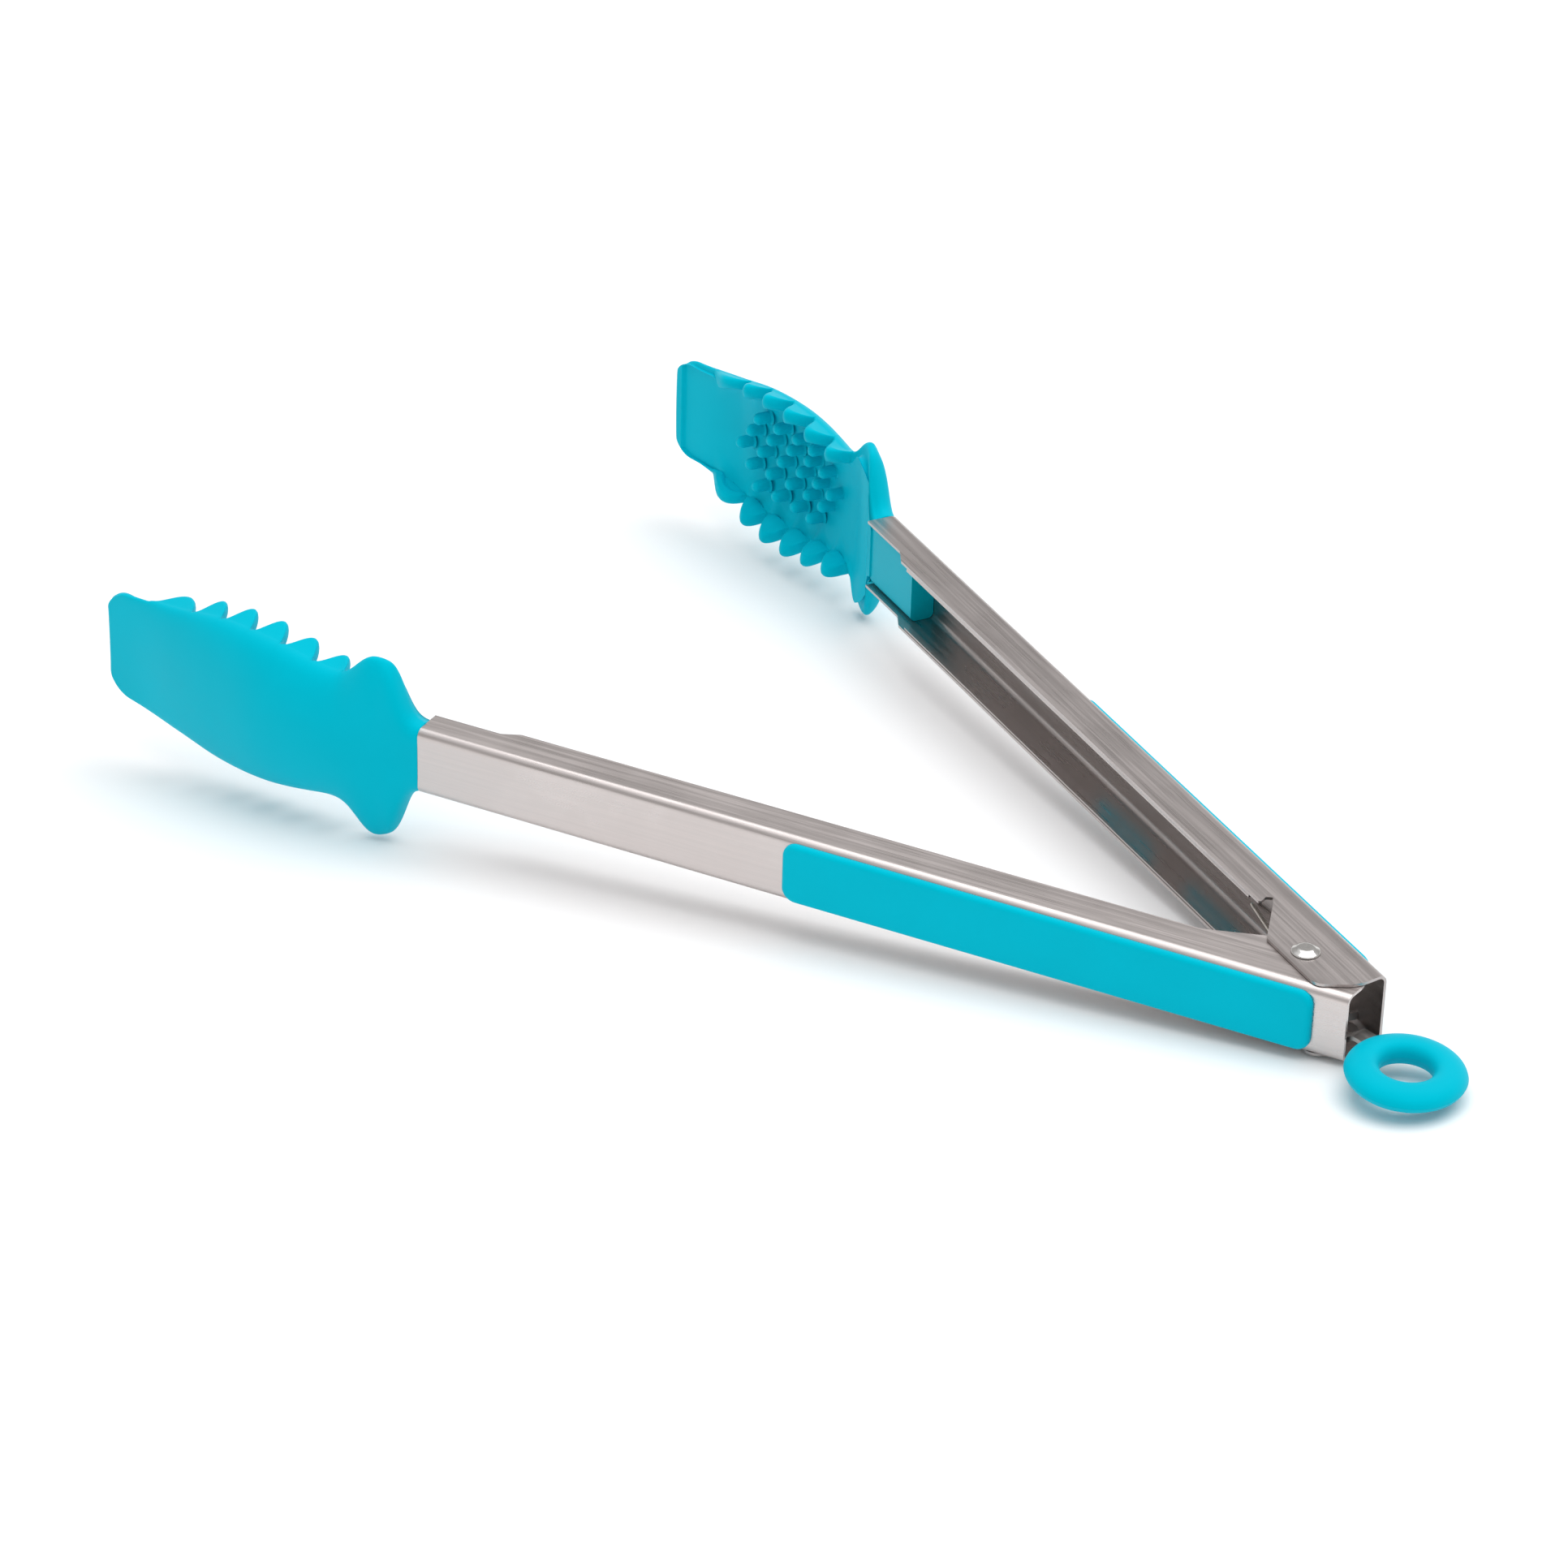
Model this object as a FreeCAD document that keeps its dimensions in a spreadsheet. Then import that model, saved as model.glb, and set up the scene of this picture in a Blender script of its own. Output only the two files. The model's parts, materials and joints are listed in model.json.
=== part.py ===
import FreeCAD, Part
import Sketcher
import math
import os
import re

# Spring loaded kitchen tongs, lying open.  Millimetres and degrees.
# The pivot axis is upright, the heads point to -X and the pull ring to +X.  Each arm is drawn in
# its own axes: X from the pivot towards the head, Y from the pivot out to the web, Z along the
# pivot.  The outer arm is the inner arm's mirror twin, so it is the same drawing turned over.

SIZES = {
    # how the arms stand
    "half_angle": 18.3,          # each arm from the centre line, lying open
    # the two steel arms
    "arm_front": 219.0,          # pivot to the steel's head end
    "arm_back": 15.0,            # pivot to the steel's handle end
    "back_bulge": 1.3,           # how far the ears round out past the web's end
    "web_face": 11.8,            # pivot to the outer face of the web
    "inner_width": 17.2,         # across the flanges of the inner arm
    "sheet": 0.7,                # steel thickness
    "ear_gap": 0.1,              # clearance between the nested ears
    "bend_radius": 2.2,          # outer radius of the web corners
    "flange_edge": 1.3,          # free edge of the flanges, from the pivot plane
    "ear_edge": 4.9,             # free edge of the ears, past the pivot plane
    "inner_ear_relief": 1.0,     # the inner arm's ears stop short of the outer arm's web
    "ear_front": 23.0,           # where the ears begin to rise from the flanges
    "ear_flat": 8.5,             # front end of the ears' straight free edge
    "ear_lead": 1.5,             # the inner arm's ears begin this much earlier
    "ear_sweep": 7.0,            # radius where they rise
    "ear_corner": 2.0,
    "back_corner": 3.0,          # ears' free edge to the handle end
    "back_round": 3.5,
    "bulge_level": 3.54,         # where the handle end rounds out most
    "bulge_round": 8.0,
    # notch that the outer arm's ears leave the flange by
    "notch_step": 1.0,
    "notch_low": 2.4,
    "notch_high": 3.9,
    "notch_slope": 7.2,
    "notch_level": 0.4,
    "notch_round": 0.5,
    "notch_sweep": 4.0,
    "roll_start": 27.0,          # pivot to the start of the rolled flange edge
    "roll_radius": 1.5,          # depth of the rolled edge
    "roll_outer": 1.42,
    "roll_inner": 0.56,
    "roll_stop": 3.0,            # the roll ends this far before the mouth
    "mouth_length": 22.0,        # stretch at the head end where the flange edge steps back
    "mouth_step": 2.0,
    "mouth_ramp": 4.4,
    "mouth_round": 2.0,
    "spare": 1.0,                # how far a cut's outline runs past the metal
    # pivot rivet and torsion spring
    "rivet_radius": 2.0,
    "rivet_clearance": 0.05,
    "dome_radius": 3.3,
    "dome_height": 1.2,
    "dome_flat": 1.8,            # radius of the dome's level middle
    "dome_round": 1.4,
    "dome_rim": 0.35,            # height of the dome's upright edge
    "dome_edge": 0.3,
    "head_gap": 0.08,
    "wire": 1.2,
    "coil_radius": 3.05,
    "whole_turns": 4.0,
    "coil_pitch": 1.35,
    "leg_length": 40.0,
    "leg_lap": 0.5,              # overlap of leg and coil, where the wire runs on
    "leg_angle": 10.2,           # leg against its arm, where it presses on the web
    # silicone grips on the webs
    "grip_front": 122.6,
    "grip_back": 7.2,            # behind the pivot
    "grip_height": 15.2,
    "grip_thick": 1.5,
    "grip_corner": 3.4,
    "grip_edge": 0.9,
    "slot_length": 26.0,
    "slot_height": 6.0,
    "slot_near": 56.0,           # pivot to the middle of the near slot
    "slot_far": 98.0,
    # heads
    "tang_length": 22.0,
    "tang_gap": 0.1,
    "tang_face": 4.6,            # inner face of the tang, from the pivot plane
    "stub_length": 5.5,
    "stub_height": 9.0,
    "stub_thick": 3.4,
    "stub_round": 0.8,
    "collar_lap": 0.3,           # how far the collar stands past the flanges
    "collar_skin": 0.1,          # and past the web
    "scoop_wall": 3.0,
    "wing_height": 25.0,
    "wing_thick": 7.0,
    "wing_inner": 6.2,
    "wing_outer": 11.6,
    "wing_place": 11.5,          # steel end to the middle of the wing
    "wing_round": 2.0,
    "wing_back": 13.2,           # outer face of the wing's middle, from the pivot plane
    "wing_shoulder": 15.0,       # half height where the wing's outer face begins to slope
    "tooth_reach": 6.6,
    "tooth_thick": 3.6,
    "tooth_flare": 0.8,          # how far a tooth stands out past the scoop's edge
    "tooth_root": 1.6,           # how deep it is set into the rim
    "tooth_round": 1.6,
    "tooth_toe": 5.6,            # its outline, from its place: foot and tip towards the head's tip,
    "tooth_front": 1.4,
    "tooth_back": 2.4,           # then tip and foot towards the handle
    "tooth_heel": 2.2,
    "tooth_pitch": 9.2,
    "first_tooth": 69.5,         # steel end to the tooth nearest the tip
    # lock slide and pull ring
    "lock_thick": 1.0,
    "lock_level": 6.9,           # underside of the slide, below the pivot's middle
    "lock_travel": 6.5,
    "lock_slot_wall": 1.5,
    "lock_play": 0.1,            # clearance round the rivet in the slot
    "lock_slot_round": 2.05,     # nearly half the slot's width
    "lock_round": 1.0,
    "lock_reach": 8.25,          # half the span of the cross arms
    "lock_arm": 2.0,
    "lock_arm_back": 0.6,        # handle side of the cross arms, from the pivot
    "lock_arm_round": 0.5,
    "catch_place": 5.8,          # pivot to the catch on each web, towards the handle end
    "catch_thick": 0.8,
    "catch_gap": 0.25,
    "catch_height": 2.0,
    "tail_half": 2.2,
    "tail_bend": 13.0,
    "tail_run": 5.6,
    "tail_neck": 6.0,            # length of the taper from the strip to the tail
    "tail_outer": 1.6,           # radii of the two bends
    "tail_inner": 1.0,
    "tail_shift": 0.5,           # the lower face bends this much later than the upper
    "tail_round": 2.0,
    "tail_y": -2.8,
    "tail_end": 9.1,             # ring's centre to the tail's end inside the ring
    "ring_x": 35.0,
    "ring_y": -6.0,
    "ring_z": -2.6,
    "ring_tilt": 2.5,
    "ring_outer": 13.5,
    "ring_hole": 5.8,
    "ring_thick": 6.2,
    "ring_round": 2.6,
    "ring_gap": 0.1,             # clearance round the tail, where the silicone grips it
    # origin, measured from the finished pieces
    "shift_x": 0.0,
    "shift_y": 0.0,
    "shift_z": 0.0,
}
# The scoop's sections, from the steel end: place, rim level, middle level and half height.
SCOOP = [
    ("neck", 4.0, 9.4, 11.7, 9.6),
    ("base", 12.0, 8.6, 13.2, 15.0),
    ("heel", 28.0, 8.6, 15.2, 17.4),
    ("belly", 44.0, 6.8, 14.4, 20.0),
    ("waist", 58.0, 4.4, 10.6, 19.6),
    ("throat", 72.0, 1.8, 5.8, 17.0),
    ("blade", 86.0, -1.6, 0.2, 14.6),
    ("tip", 92.5, -3.3, -2.1, 12.6),
]
TEETH = 6
NODES = [
    "inner_arm", "outer_arm", "pivot_rivet", "torsion_spring", "inner_grip", "outer_grip",
    "inner_head_core", "outer_head_core", "inner_head", "outer_head", "lock_slide", "pull_ring",
]
OUTER_WIDTH = "inner_width + 2 * ear_gap + 2 * sheet"

doc = FreeCAD.newDocument("kitchen_tongs")
sheet = doc.addObject("Spreadsheet::Sheet", "Sizes")
for row, (alias, size) in enumerate(SIZES.items(), start=1):
    sheet.set(f"A{row}", alias)
    sheet.set(f"B{row}", str(size))
    sheet.setAlias(f"B{row}", alias)


def add_sizes(prefix, names, rows):
    """Write a small group of related sizes under the others, one cell each."""
    start = len(SIZES) + 1
    for record in rows:
        for name, size in zip(names, record[1:]):
            alias = f"{prefix}_{record[0]}_{name}"
            SIZES[alias] = size
            sheet.set(f"A{start}", alias)
            sheet.set(f"B{start}", str(size))
            sheet.setAlias(f"B{start}", alias)
            start += 1


add_sizes("scoop", ("place", "rim", "middle", "half"), SCOOP)
doc.recompute()


def full(expression):
    """The expression with the sheet's name before each alias."""
    word = r"\b[a-z_]+[a-z]\b"
    return re.sub(word, lambda m: f"Sizes.{m.group()}" if m.group() in SIZES else m.group(), expression)


def value(expression):
    """The number that an expression gives now."""
    result = sheet.evalExpression(full(str(expression)))
    return float(getattr(result, "Value", result))


def bind(thing, prop, expression):
    """Drive one property of a document object from the sheet."""
    thing.setExpression(prop, full(str(expression)))


def plane(body, role):
    """The body's own origin plane, such as XY_Plane."""
    return next(f for f in body.Origin.OriginFeatures if f.Role == role)


def new_sketch(body, name, role, offset="0"):
    """A sketch on an origin plane of the body, moved along the plane's normal."""
    sketch = body.newObject("Sketcher::SketchObject", name)
    sketch.AttachmentSupport = [(plane(body, role), "")]
    sketch.MapMode = "FlatFace"
    bind(sketch, "AttachmentOffset.Base.z", offset)
    return sketch


def outline(sketch, corners):
    """Closed outline through corners (x, y) or (x, y, radius), all of them sheet expressions."""
    spots = [FreeCAD.Vector(value(c[0]), value(c[1]), 0) for c in corners]
    radii = [value(c[2]) if len(c) > 2 else 0.0 for c in corners]
    count = len(corners)
    arrive, leave, centre = [], [], []
    for i, spot in enumerate(spots):
        before = (spots[i - 1] - spot).normalize()
        after = (spots[(i + 1) % count] - spot).normalize()
        half = before.getAngle(after) / 2
        cut = radii[i] / math.tan(half)
        arrive.append(spot + before * cut)
        leave.append(spot + after * cut)
        middle = (before + after).normalize() if radii[i] else before
        centre.append(spot + middle * (radii[i] / math.sin(half)))
    sides = []
    for i in range(count):
        sides.append(sketch.addGeometry(Part.LineSegment(leave[i], arrive[(i + 1) % count])))
    for i in range(count):
        into, out = sides[i - 1], sides[i]
        x_text, y_text = corners[i][0], corners[i][1]
        if radii[i]:
            first = arrive[i] - centre[i]
            last = leave[i] - centre[i]
            turn = first.cross(last).z
            begin = math.atan2(first.y, first.x)
            finish = math.atan2(last.y, last.x)
            if turn < 0:
                begin, finish = finish, begin
            circle = Part.Circle(centre[i], FreeCAD.Vector(0, 0, 1), radii[i])
            arc = sketch.addGeometry(Part.ArcOfCircle(circle, begin, finish))
            near, far = (1, 2) if turn > 0 else (2, 1)
            sketch.addConstraint(Sketcher.Constraint("Tangent", into, 2, arc, near))
            sketch.addConstraint(Sketcher.Constraint("Tangent", arc, far, out, 1))
            size = sketch.addConstraint(Sketcher.Constraint("Radius", arc, radii[i]))
            bind(sketch, f"Constraints[{size}]", corners[i][2])
            point = sketch.addGeometry(Part.Point(spots[i]), True)
            sketch.addConstraint(Sketcher.Constraint("PointOnObject", point, 1, into))
            sketch.addConstraint(Sketcher.Constraint("PointOnObject", point, 1, out))
            fix_point(sketch, point, 1, x_text, y_text)
        else:
            sketch.addConstraint(Sketcher.Constraint("Coincident", into, 2, out, 1))
            fix_point(sketch, out, 1, x_text, y_text)
    return sketch


def fix_point(sketch, piece, end, x_text, y_text):
    """Hold a point of the sketch at sheet-driven distances from the sketch's origin."""
    for kind, text in (("DistanceX", x_text), ("DistanceY", y_text)):
        place = sketch.addConstraint(Sketcher.Constraint(kind, -1, 1, piece, end, value(text)))
        bind(sketch, f"Constraints[{place}]", text)


def ring_line(sketch, x_text, y_text, radius_text):
    """A circle in a sketch, driven from the sheet."""
    spot = FreeCAD.Vector(value(x_text), value(y_text), 0)
    circle = Part.Circle(spot, FreeCAD.Vector(0, 0, 1), value(radius_text))
    piece = sketch.addGeometry(circle)
    fix_point(sketch, piece, 3, x_text, y_text)
    size = sketch.addConstraint(Sketcher.Constraint("Radius", piece, value(radius_text)))
    bind(sketch, f"Constraints[{size}]", radius_text)
    return sketch


def box_line(sketch, left, right, low, high, radius=None):
    """An upright rectangle in a sketch, with rounded corners if a radius is given."""
    corners = [(left, low), (right, low), (right, high), (left, high)]
    if radius is not None:
        corners = [corner + (radius,) for corner in corners]
    return outline(sketch, corners)


def pad(body, sketch, name, length, both_ways=False, turned=False):
    """Raise a sketch; both_ways spreads the length evenly about the sketch's plane."""
    feature = body.newObject("PartDesign::Pad", name)
    feature.Profile = sketch
    bind(feature, "Length", length)
    feature.Midplane = both_ways
    feature.Reversed = turned
    return feature


def cut(body, sketch, name, length, both_ways=False, turned=False):
    """Cut a sketch out of the body, and make sure that it removed something."""
    doc.recompute()
    before = body.Shape.Volume
    feature = body.newObject("PartDesign::Pocket", name)
    feature.Profile = sketch
    bind(feature, "Length", length)
    feature.Midplane = both_ways
    feature.Reversed = turned
    doc.recompute()
    if body.Shape.Volume > before - 1e-3:
        raise ValueError(f"{body.Label}: {name} cuts nothing")
    return feature


def new_body(name):
    """An empty body that becomes one sub-part."""
    body = doc.addObject("PartDesign::Body", name)
    body.Label = name
    return body


def stand(thing, turned_over=False, on_arm=True):
    """Put a piece in its place: on its arm, turned over for the outer arm, then to the origin."""
    if on_arm:
        bind(thing, "Placement.Rotation.Yaw", "180 - half_angle" if turned_over else "half_angle - 180")
        bind(thing, "Placement.Rotation.Roll", "180" if turned_over else "0")
    bind(thing, "Placement.Base.x", "shift_x")
    bind(thing, "Placement.Base.y", "shift_y")
    bind(thing, "Placement.Base.z", "shift_z")


def make_arm(name, width, notched, turned_over):
    """One pressed steel channel: web, two flanges with rolled edges, and the pivot ears."""
    body = new_body(name)
    edge = "flange_edge"
    step = "flange_edge + mouth_step"
    front = [
        ("arm_front", "web_face"),
        ("arm_front", step),
        ("arm_front - mouth_length + mouth_ramp", step, "mouth_round"),
        ("arm_front - mouth_length", edge, "mouth_round"),
    ]
    if notched:
        rise = [
            ("ear_front - notch_step", edge, "notch_round"),
            ("ear_front + notch_step / 2", f"{edge} + notch_low", "notch_round"),
            ("ear_front - notch_step / 2", f"{edge} + notch_high", "notch_round"),
            ("ear_front - notch_slope", "notch_level", "notch_sweep"),
        ]
    else:
        rise = [("ear_front + ear_lead", edge, "ear_sweep")]
    ear = "-ear_edge" if notched else "inner_ear_relief - ear_edge"
    back = [
        ("ear_flat", ear, "ear_corner"),
        ("-arm_back + back_corner", ear, "back_round"),
        ("-arm_back - back_bulge", "bulge_level", "bulge_round"),
        ("-arm_back", "web_face"),
    ]
    side = new_sketch(body, f"{name}_side", "XY_Plane")
    outline(side, front + rise + back)
    pad(body, side, f"{name}_block", width, both_ways=True)

    inside = f"({width}) / 2 - sheet"
    hollow = new_sketch(body, f"{name}_hollow", "YZ_Plane")
    bend = "bend_radius - sheet"
    outline(hollow, [
        ("-2 * ear_edge", f"-({inside})"),
        ("web_face - sheet", f"-({inside})", bend),
        ("web_face - sheet", inside, bend),
        ("-2 * ear_edge", inside),
    ])
    cut(body, hollow, f"{name}_channel", "4 * arm_front", both_ways=True)
    bends = new_sketch(body, f"{name}_bend_line", "YZ_Plane")
    for up in (1, -1):
        top = f"{up} * ({width}) / 2"
        outline(bends, [
            ("web_face + spare", f"{top} + {up} * spare"),
            ("web_face - 2 * bend_radius", f"{top} + {up} * spare"),
            ("web_face - 2 * bend_radius", top),
            ("web_face", top, "bend_radius"),
            ("web_face", f"{top} - {up} * 2 * bend_radius"),
            ("web_face + spare", f"{top} - {up} * 2 * bend_radius"),
        ])
    cut(body, bends, f"{name}_bends", "4 * arm_front", both_ways=True)

    hole = new_sketch(body, f"{name}_hole_line", "XY_Plane")
    ring_line(hole, "0", "0", "rivet_radius + rivet_clearance")
    cut(body, hole, f"{name}_hole", "4 * web_face", both_ways=True)

    slots = new_sketch(body, f"{name}_slot_line", "XZ_Plane")
    for middle in ("slot_near", "slot_far"):
        box_line(slots, f"{middle} - slot_length / 2", f"{middle} + slot_length / 2",
                 "-slot_height / 2", "slot_height / 2", "slot_height / 3")
    cut(body, slots, f"{name}_slots", "2 * web_face")

    # rolled free edge of both flanges
    edge_line = new_sketch(body, f"{name}_roll_line", "YZ_Plane", "roll_start")
    for up in (1, -1):
        top = f"{up} * (({width}) / 2)"
        low = f"{up} * (({width}) / 2 - roll_radius)"
        outline(edge_line, [
            (edge, low),
            (f"{edge} + sheet", low),
            (f"{edge} + sheet", f"{up} * (({width}) / 2 - sheet)", "roll_inner"),
            (f"{edge} + 2 * roll_radius", f"{up} * (({width}) / 2 - sheet)"),
            (f"{edge} + 2 * roll_radius", top),
            (edge, top, "roll_outer"),
        ])
    pad(body, edge_line, f"{name}_roll", "arm_front - mouth_length - roll_start - roll_stop")

    # catch that the lock slide's cross arm stands against
    catch = new_sketch(body, f"{name}_catch_line", "XZ_Plane", "-(web_face - sheet / 2)")
    middle = "-lock_level + lock_thick / 2" if not turned_over else "lock_level - lock_thick / 2"
    box_line(catch, "-catch_place - catch_thick / 2", "-catch_place + catch_thick / 2",
             f"{middle} - catch_height / 2", f"{middle} + catch_height / 2")
    pad(body, catch, f"{name}_catch", "web_face - sheet / 2 - lock_reach - catch_gap")
    stand(body, turned_over)
    return body


make_arm("inner_arm", "inner_width", False, False)
make_arm("outer_arm", OUTER_WIDTH, True, True)


def make_rivet():
    """Round rivet with a low dome on each end, through both pairs of ears."""
    body = new_body("pivot_rivet")
    line = new_sketch(body, "rivet_line", "XZ_Plane")
    seat = f"({OUTER_WIDTH}) / 2 + head_gap"
    outline(line, [
        ("0", f"-({seat}) - dome_height"),
        ("dome_flat", f"-({seat}) - dome_height", "dome_round"),
        ("dome_radius", f"-({seat}) - dome_rim", "dome_edge"),
        ("dome_radius", f"-({seat})"),
        ("rivet_radius", f"-({seat})"),
        ("rivet_radius", seat),
        ("dome_radius", seat),
        ("dome_radius", f"{seat} + dome_rim", "dome_edge"),
        ("dome_flat", f"{seat} + dome_height", "dome_round"),
        ("0", f"{seat} + dome_height"),
    ])
    turn = body.newObject("PartDesign::Revolution", "rivet_turn")
    turn.Profile = line
    turn.ReferenceAxis = (line, ["V_Axis"])
    turn.Angle = 360
    doc.recompute()
    stand(body, on_arm=False)


def make_spring():
    """Torsion spring: a coil around the rivet and one straight leg against each web."""
    lean = "half_angle + leg_angle"
    turns = f"(whole_turns + (90 - {lean}) / 180)"
    rise = f"coil_pitch * {turns}"
    coil = doc.addObject("Part::Helix", "spring_path")
    coil.LocalCoord = "Left-handed"
    bind(coil, "Pitch", "coil_pitch")
    bind(coil, "Height", rise)
    bind(coil, "Radius", "coil_radius")
    wire = doc.addObject("Part::Circle", "spring_wire")
    bind(wire, "Radius", "wire / 2")
    bind(wire, "Placement.Base.x", "coil_radius")
    wire.Placement.Rotation = FreeCAD.Rotation(FreeCAD.Vector(1, 0, 0), 90)
    doc.recompute()
    sweep = doc.addObject("Part::Sweep", "spring_coil")
    sweep.Sections = [wire]
    sweep.Spine = (coil, ["Edge1"])
    sweep.Solid = True
    sweep.Frenet = True
    bind(sweep, "Placement.Base.z", f"-{rise} / 2")
    bind(sweep, "Placement.Rotation.Yaw", f"90 - {lean}")
    pieces = [sweep]
    for side in (1, -1):
        leg = doc.addObject("Part::Cylinder", "spring_leg")
        bind(leg, "Radius", "wire / 2")
        bind(leg, "Height", "leg_length + leg_lap")
        bind(leg, "Placement.Base.x", f"coil_radius * sin({lean}) + leg_lap * cos({lean})")
        bind(leg, "Placement.Base.y", f"{side} * (coil_radius * cos({lean}) - leg_lap * sin({lean}))")
        bind(leg, "Placement.Base.z", f"-{side} * {rise} / 2")
        leg.Placement.Rotation = FreeCAD.Rotation(0, 0, -90)
        bind(leg, "Placement.Rotation.Yaw", f"90 - {side} * ({lean})")
        pieces.append(leg)
    spring = doc.addObject("Part::MultiFuse", "torsion_spring")
    spring.Shapes = pieces
    spring.Label = "torsion_spring"
    stand(spring, on_arm=False)


make_rivet()
make_spring()


def make_grip(name, turned_over):
    """Silicone grip: a soft-edged pad on the web, held by two bosses through the web's slots."""
    body = new_body(name)
    face = new_sketch(body, f"{name}_line", "XZ_Plane", "-web_face")
    box_line(face, "-grip_back", "grip_front", "-grip_height / 2", "grip_height / 2", "grip_corner")
    pad(body, face, f"{name}_pad", "grip_thick", turned=True)
    doc.recompute()
    top = [
        f"Edge{i}" for i, edge in enumerate(body.Shape.Edges, start=1)
        if abs(edge.BoundBox.YMin - value("web_face + grip_thick")) < 1e-6
    ]
    raised = body.Tip
    soft = body.newObject("PartDesign::Fillet", f"{name}_soft_edge")
    soft.Base = (raised, top)
    bind(soft, "Radius", "grip_edge")
    doc.recompute()
    boss = new_sketch(body, f"{name}_boss_line", "XZ_Plane", "-web_face")
    for middle in ("slot_near", "slot_far"):
        box_line(boss, f"{middle} - slot_length / 2", f"{middle} + slot_length / 2",
                 "-slot_height / 2", "slot_height / 2", "slot_height / 3")
    pad(body, boss, f"{name}_bosses", "sheet")
    stand(body, turned_over)


make_grip("inner_grip", False)
make_grip("outer_grip", True)


def make_core(name, width, turned_over):
    """Moulded nylon core: a tang that fills the channel's mouth and a stub inside the head."""
    body = new_body(name)
    room = f"({width}) / 2 - sheet - tang_gap"
    tang = new_sketch(body, f"{name}_tang_line", "YZ_Plane", "arm_front - tang_length")
    outer = "web_face - sheet - tang_gap"
    box_line(tang, "tang_face", outer, f"-({room})", room, "bend_radius - sheet")
    pad(body, tang, f"{name}_tang", "tang_length")
    stub = new_sketch(body, f"{name}_stub_line", "YZ_Plane", "arm_front")
    middle = "web_face - sheet - tang_gap"
    box_line(stub, f"{middle} - stub_thick", middle, "-stub_height / 2", "stub_height / 2", "stub_round")
    pad(body, stub, f"{name}_stub", "stub_length")
    stand(body, turned_over)


make_core("inner_head_core", "inner_width", False)
make_core("outer_head_core", OUTER_WIDTH, True)


def scoop_section(body, name, station):
    """One curved band across the scoop: two arcs about one centre, closed by a line at each rim."""
    sketch = new_sketch(body, f"{name}_{station}", "YZ_Plane", f"arm_front + scoop_{station}_place")
    rim, middle, half = (f"scoop_{station}_{part}" for part in ("rim", "middle", "half"))
    sag = f"({middle} - {rim})"
    radius = f"(({half}) ^ 2 + {sag} ^ 2) / (2 * {sag})"
    inner = f"({radius} - scoop_wall)"
    centre = f"{middle} - {radius}"
    share = f"({inner} / ({radius}))"
    angle = math.asin(value(half) / value(radius))
    middle_spot = FreeCAD.Vector(value(centre), 0, 0)
    up = FreeCAD.Vector(0, 0, 1)
    arcs = []
    for reach in (radius, inner):
        circle = Part.Circle(middle_spot, up, value(reach))
        arc = sketch.addGeometry(Part.ArcOfCircle(circle, -angle, angle))
        fix_point(sketch, arc, 3, centre, "0")
        arcs.append(arc)
    outer_arc, inner_arc = arcs
    fix_point(sketch, outer_arc, 1, rim, f"-{half}")
    hold = sketch.addConstraint(Sketcher.Constraint("DistanceY", -1, 1, outer_arc, 2, value(half)))
    bind(sketch, f"Constraints[{hold}]", half)
    inner_rim = f"{centre} + ({rim} - ({centre})) * {share}"
    fix_point(sketch, inner_arc, 1, inner_rim, f"-{half} * {share}")
    rise = f"{half} * {share}"
    hold = sketch.addConstraint(Sketcher.Constraint("DistanceY", -1, 1, inner_arc, 2, value(rise)))
    bind(sketch, f"Constraints[{hold}]", rise)
    for end in (1, 2):
        spots = [sketch.getPoint(arc, end) for arc in arcs]
        line = sketch.addGeometry(Part.LineSegment(*spots))
        sketch.addConstraint(Sketcher.Constraint("Coincident", line, 1, outer_arc, end))
        sketch.addConstraint(Sketcher.Constraint("Coincident", line, 2, inner_arc, end))
    return sketch


def along(part, place):
    """The scoop's rim, middle or half height at a place between two of its sections."""
    spot = value(place)
    for low, high in zip(SCOOP, SCOOP[1:]):
        if low[1] <= spot <= high[1]:
            near, far = f"scoop_{low[0]}", f"scoop_{high[0]}"
            share = f"(({place}) - {near}_place) / ({far}_place - {near}_place)"
            return f"({near}_{part} + ({far}_{part} - {near}_{part}) * {share})"
    raise ValueError(f"no section of the scoop at {spot}")


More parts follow.
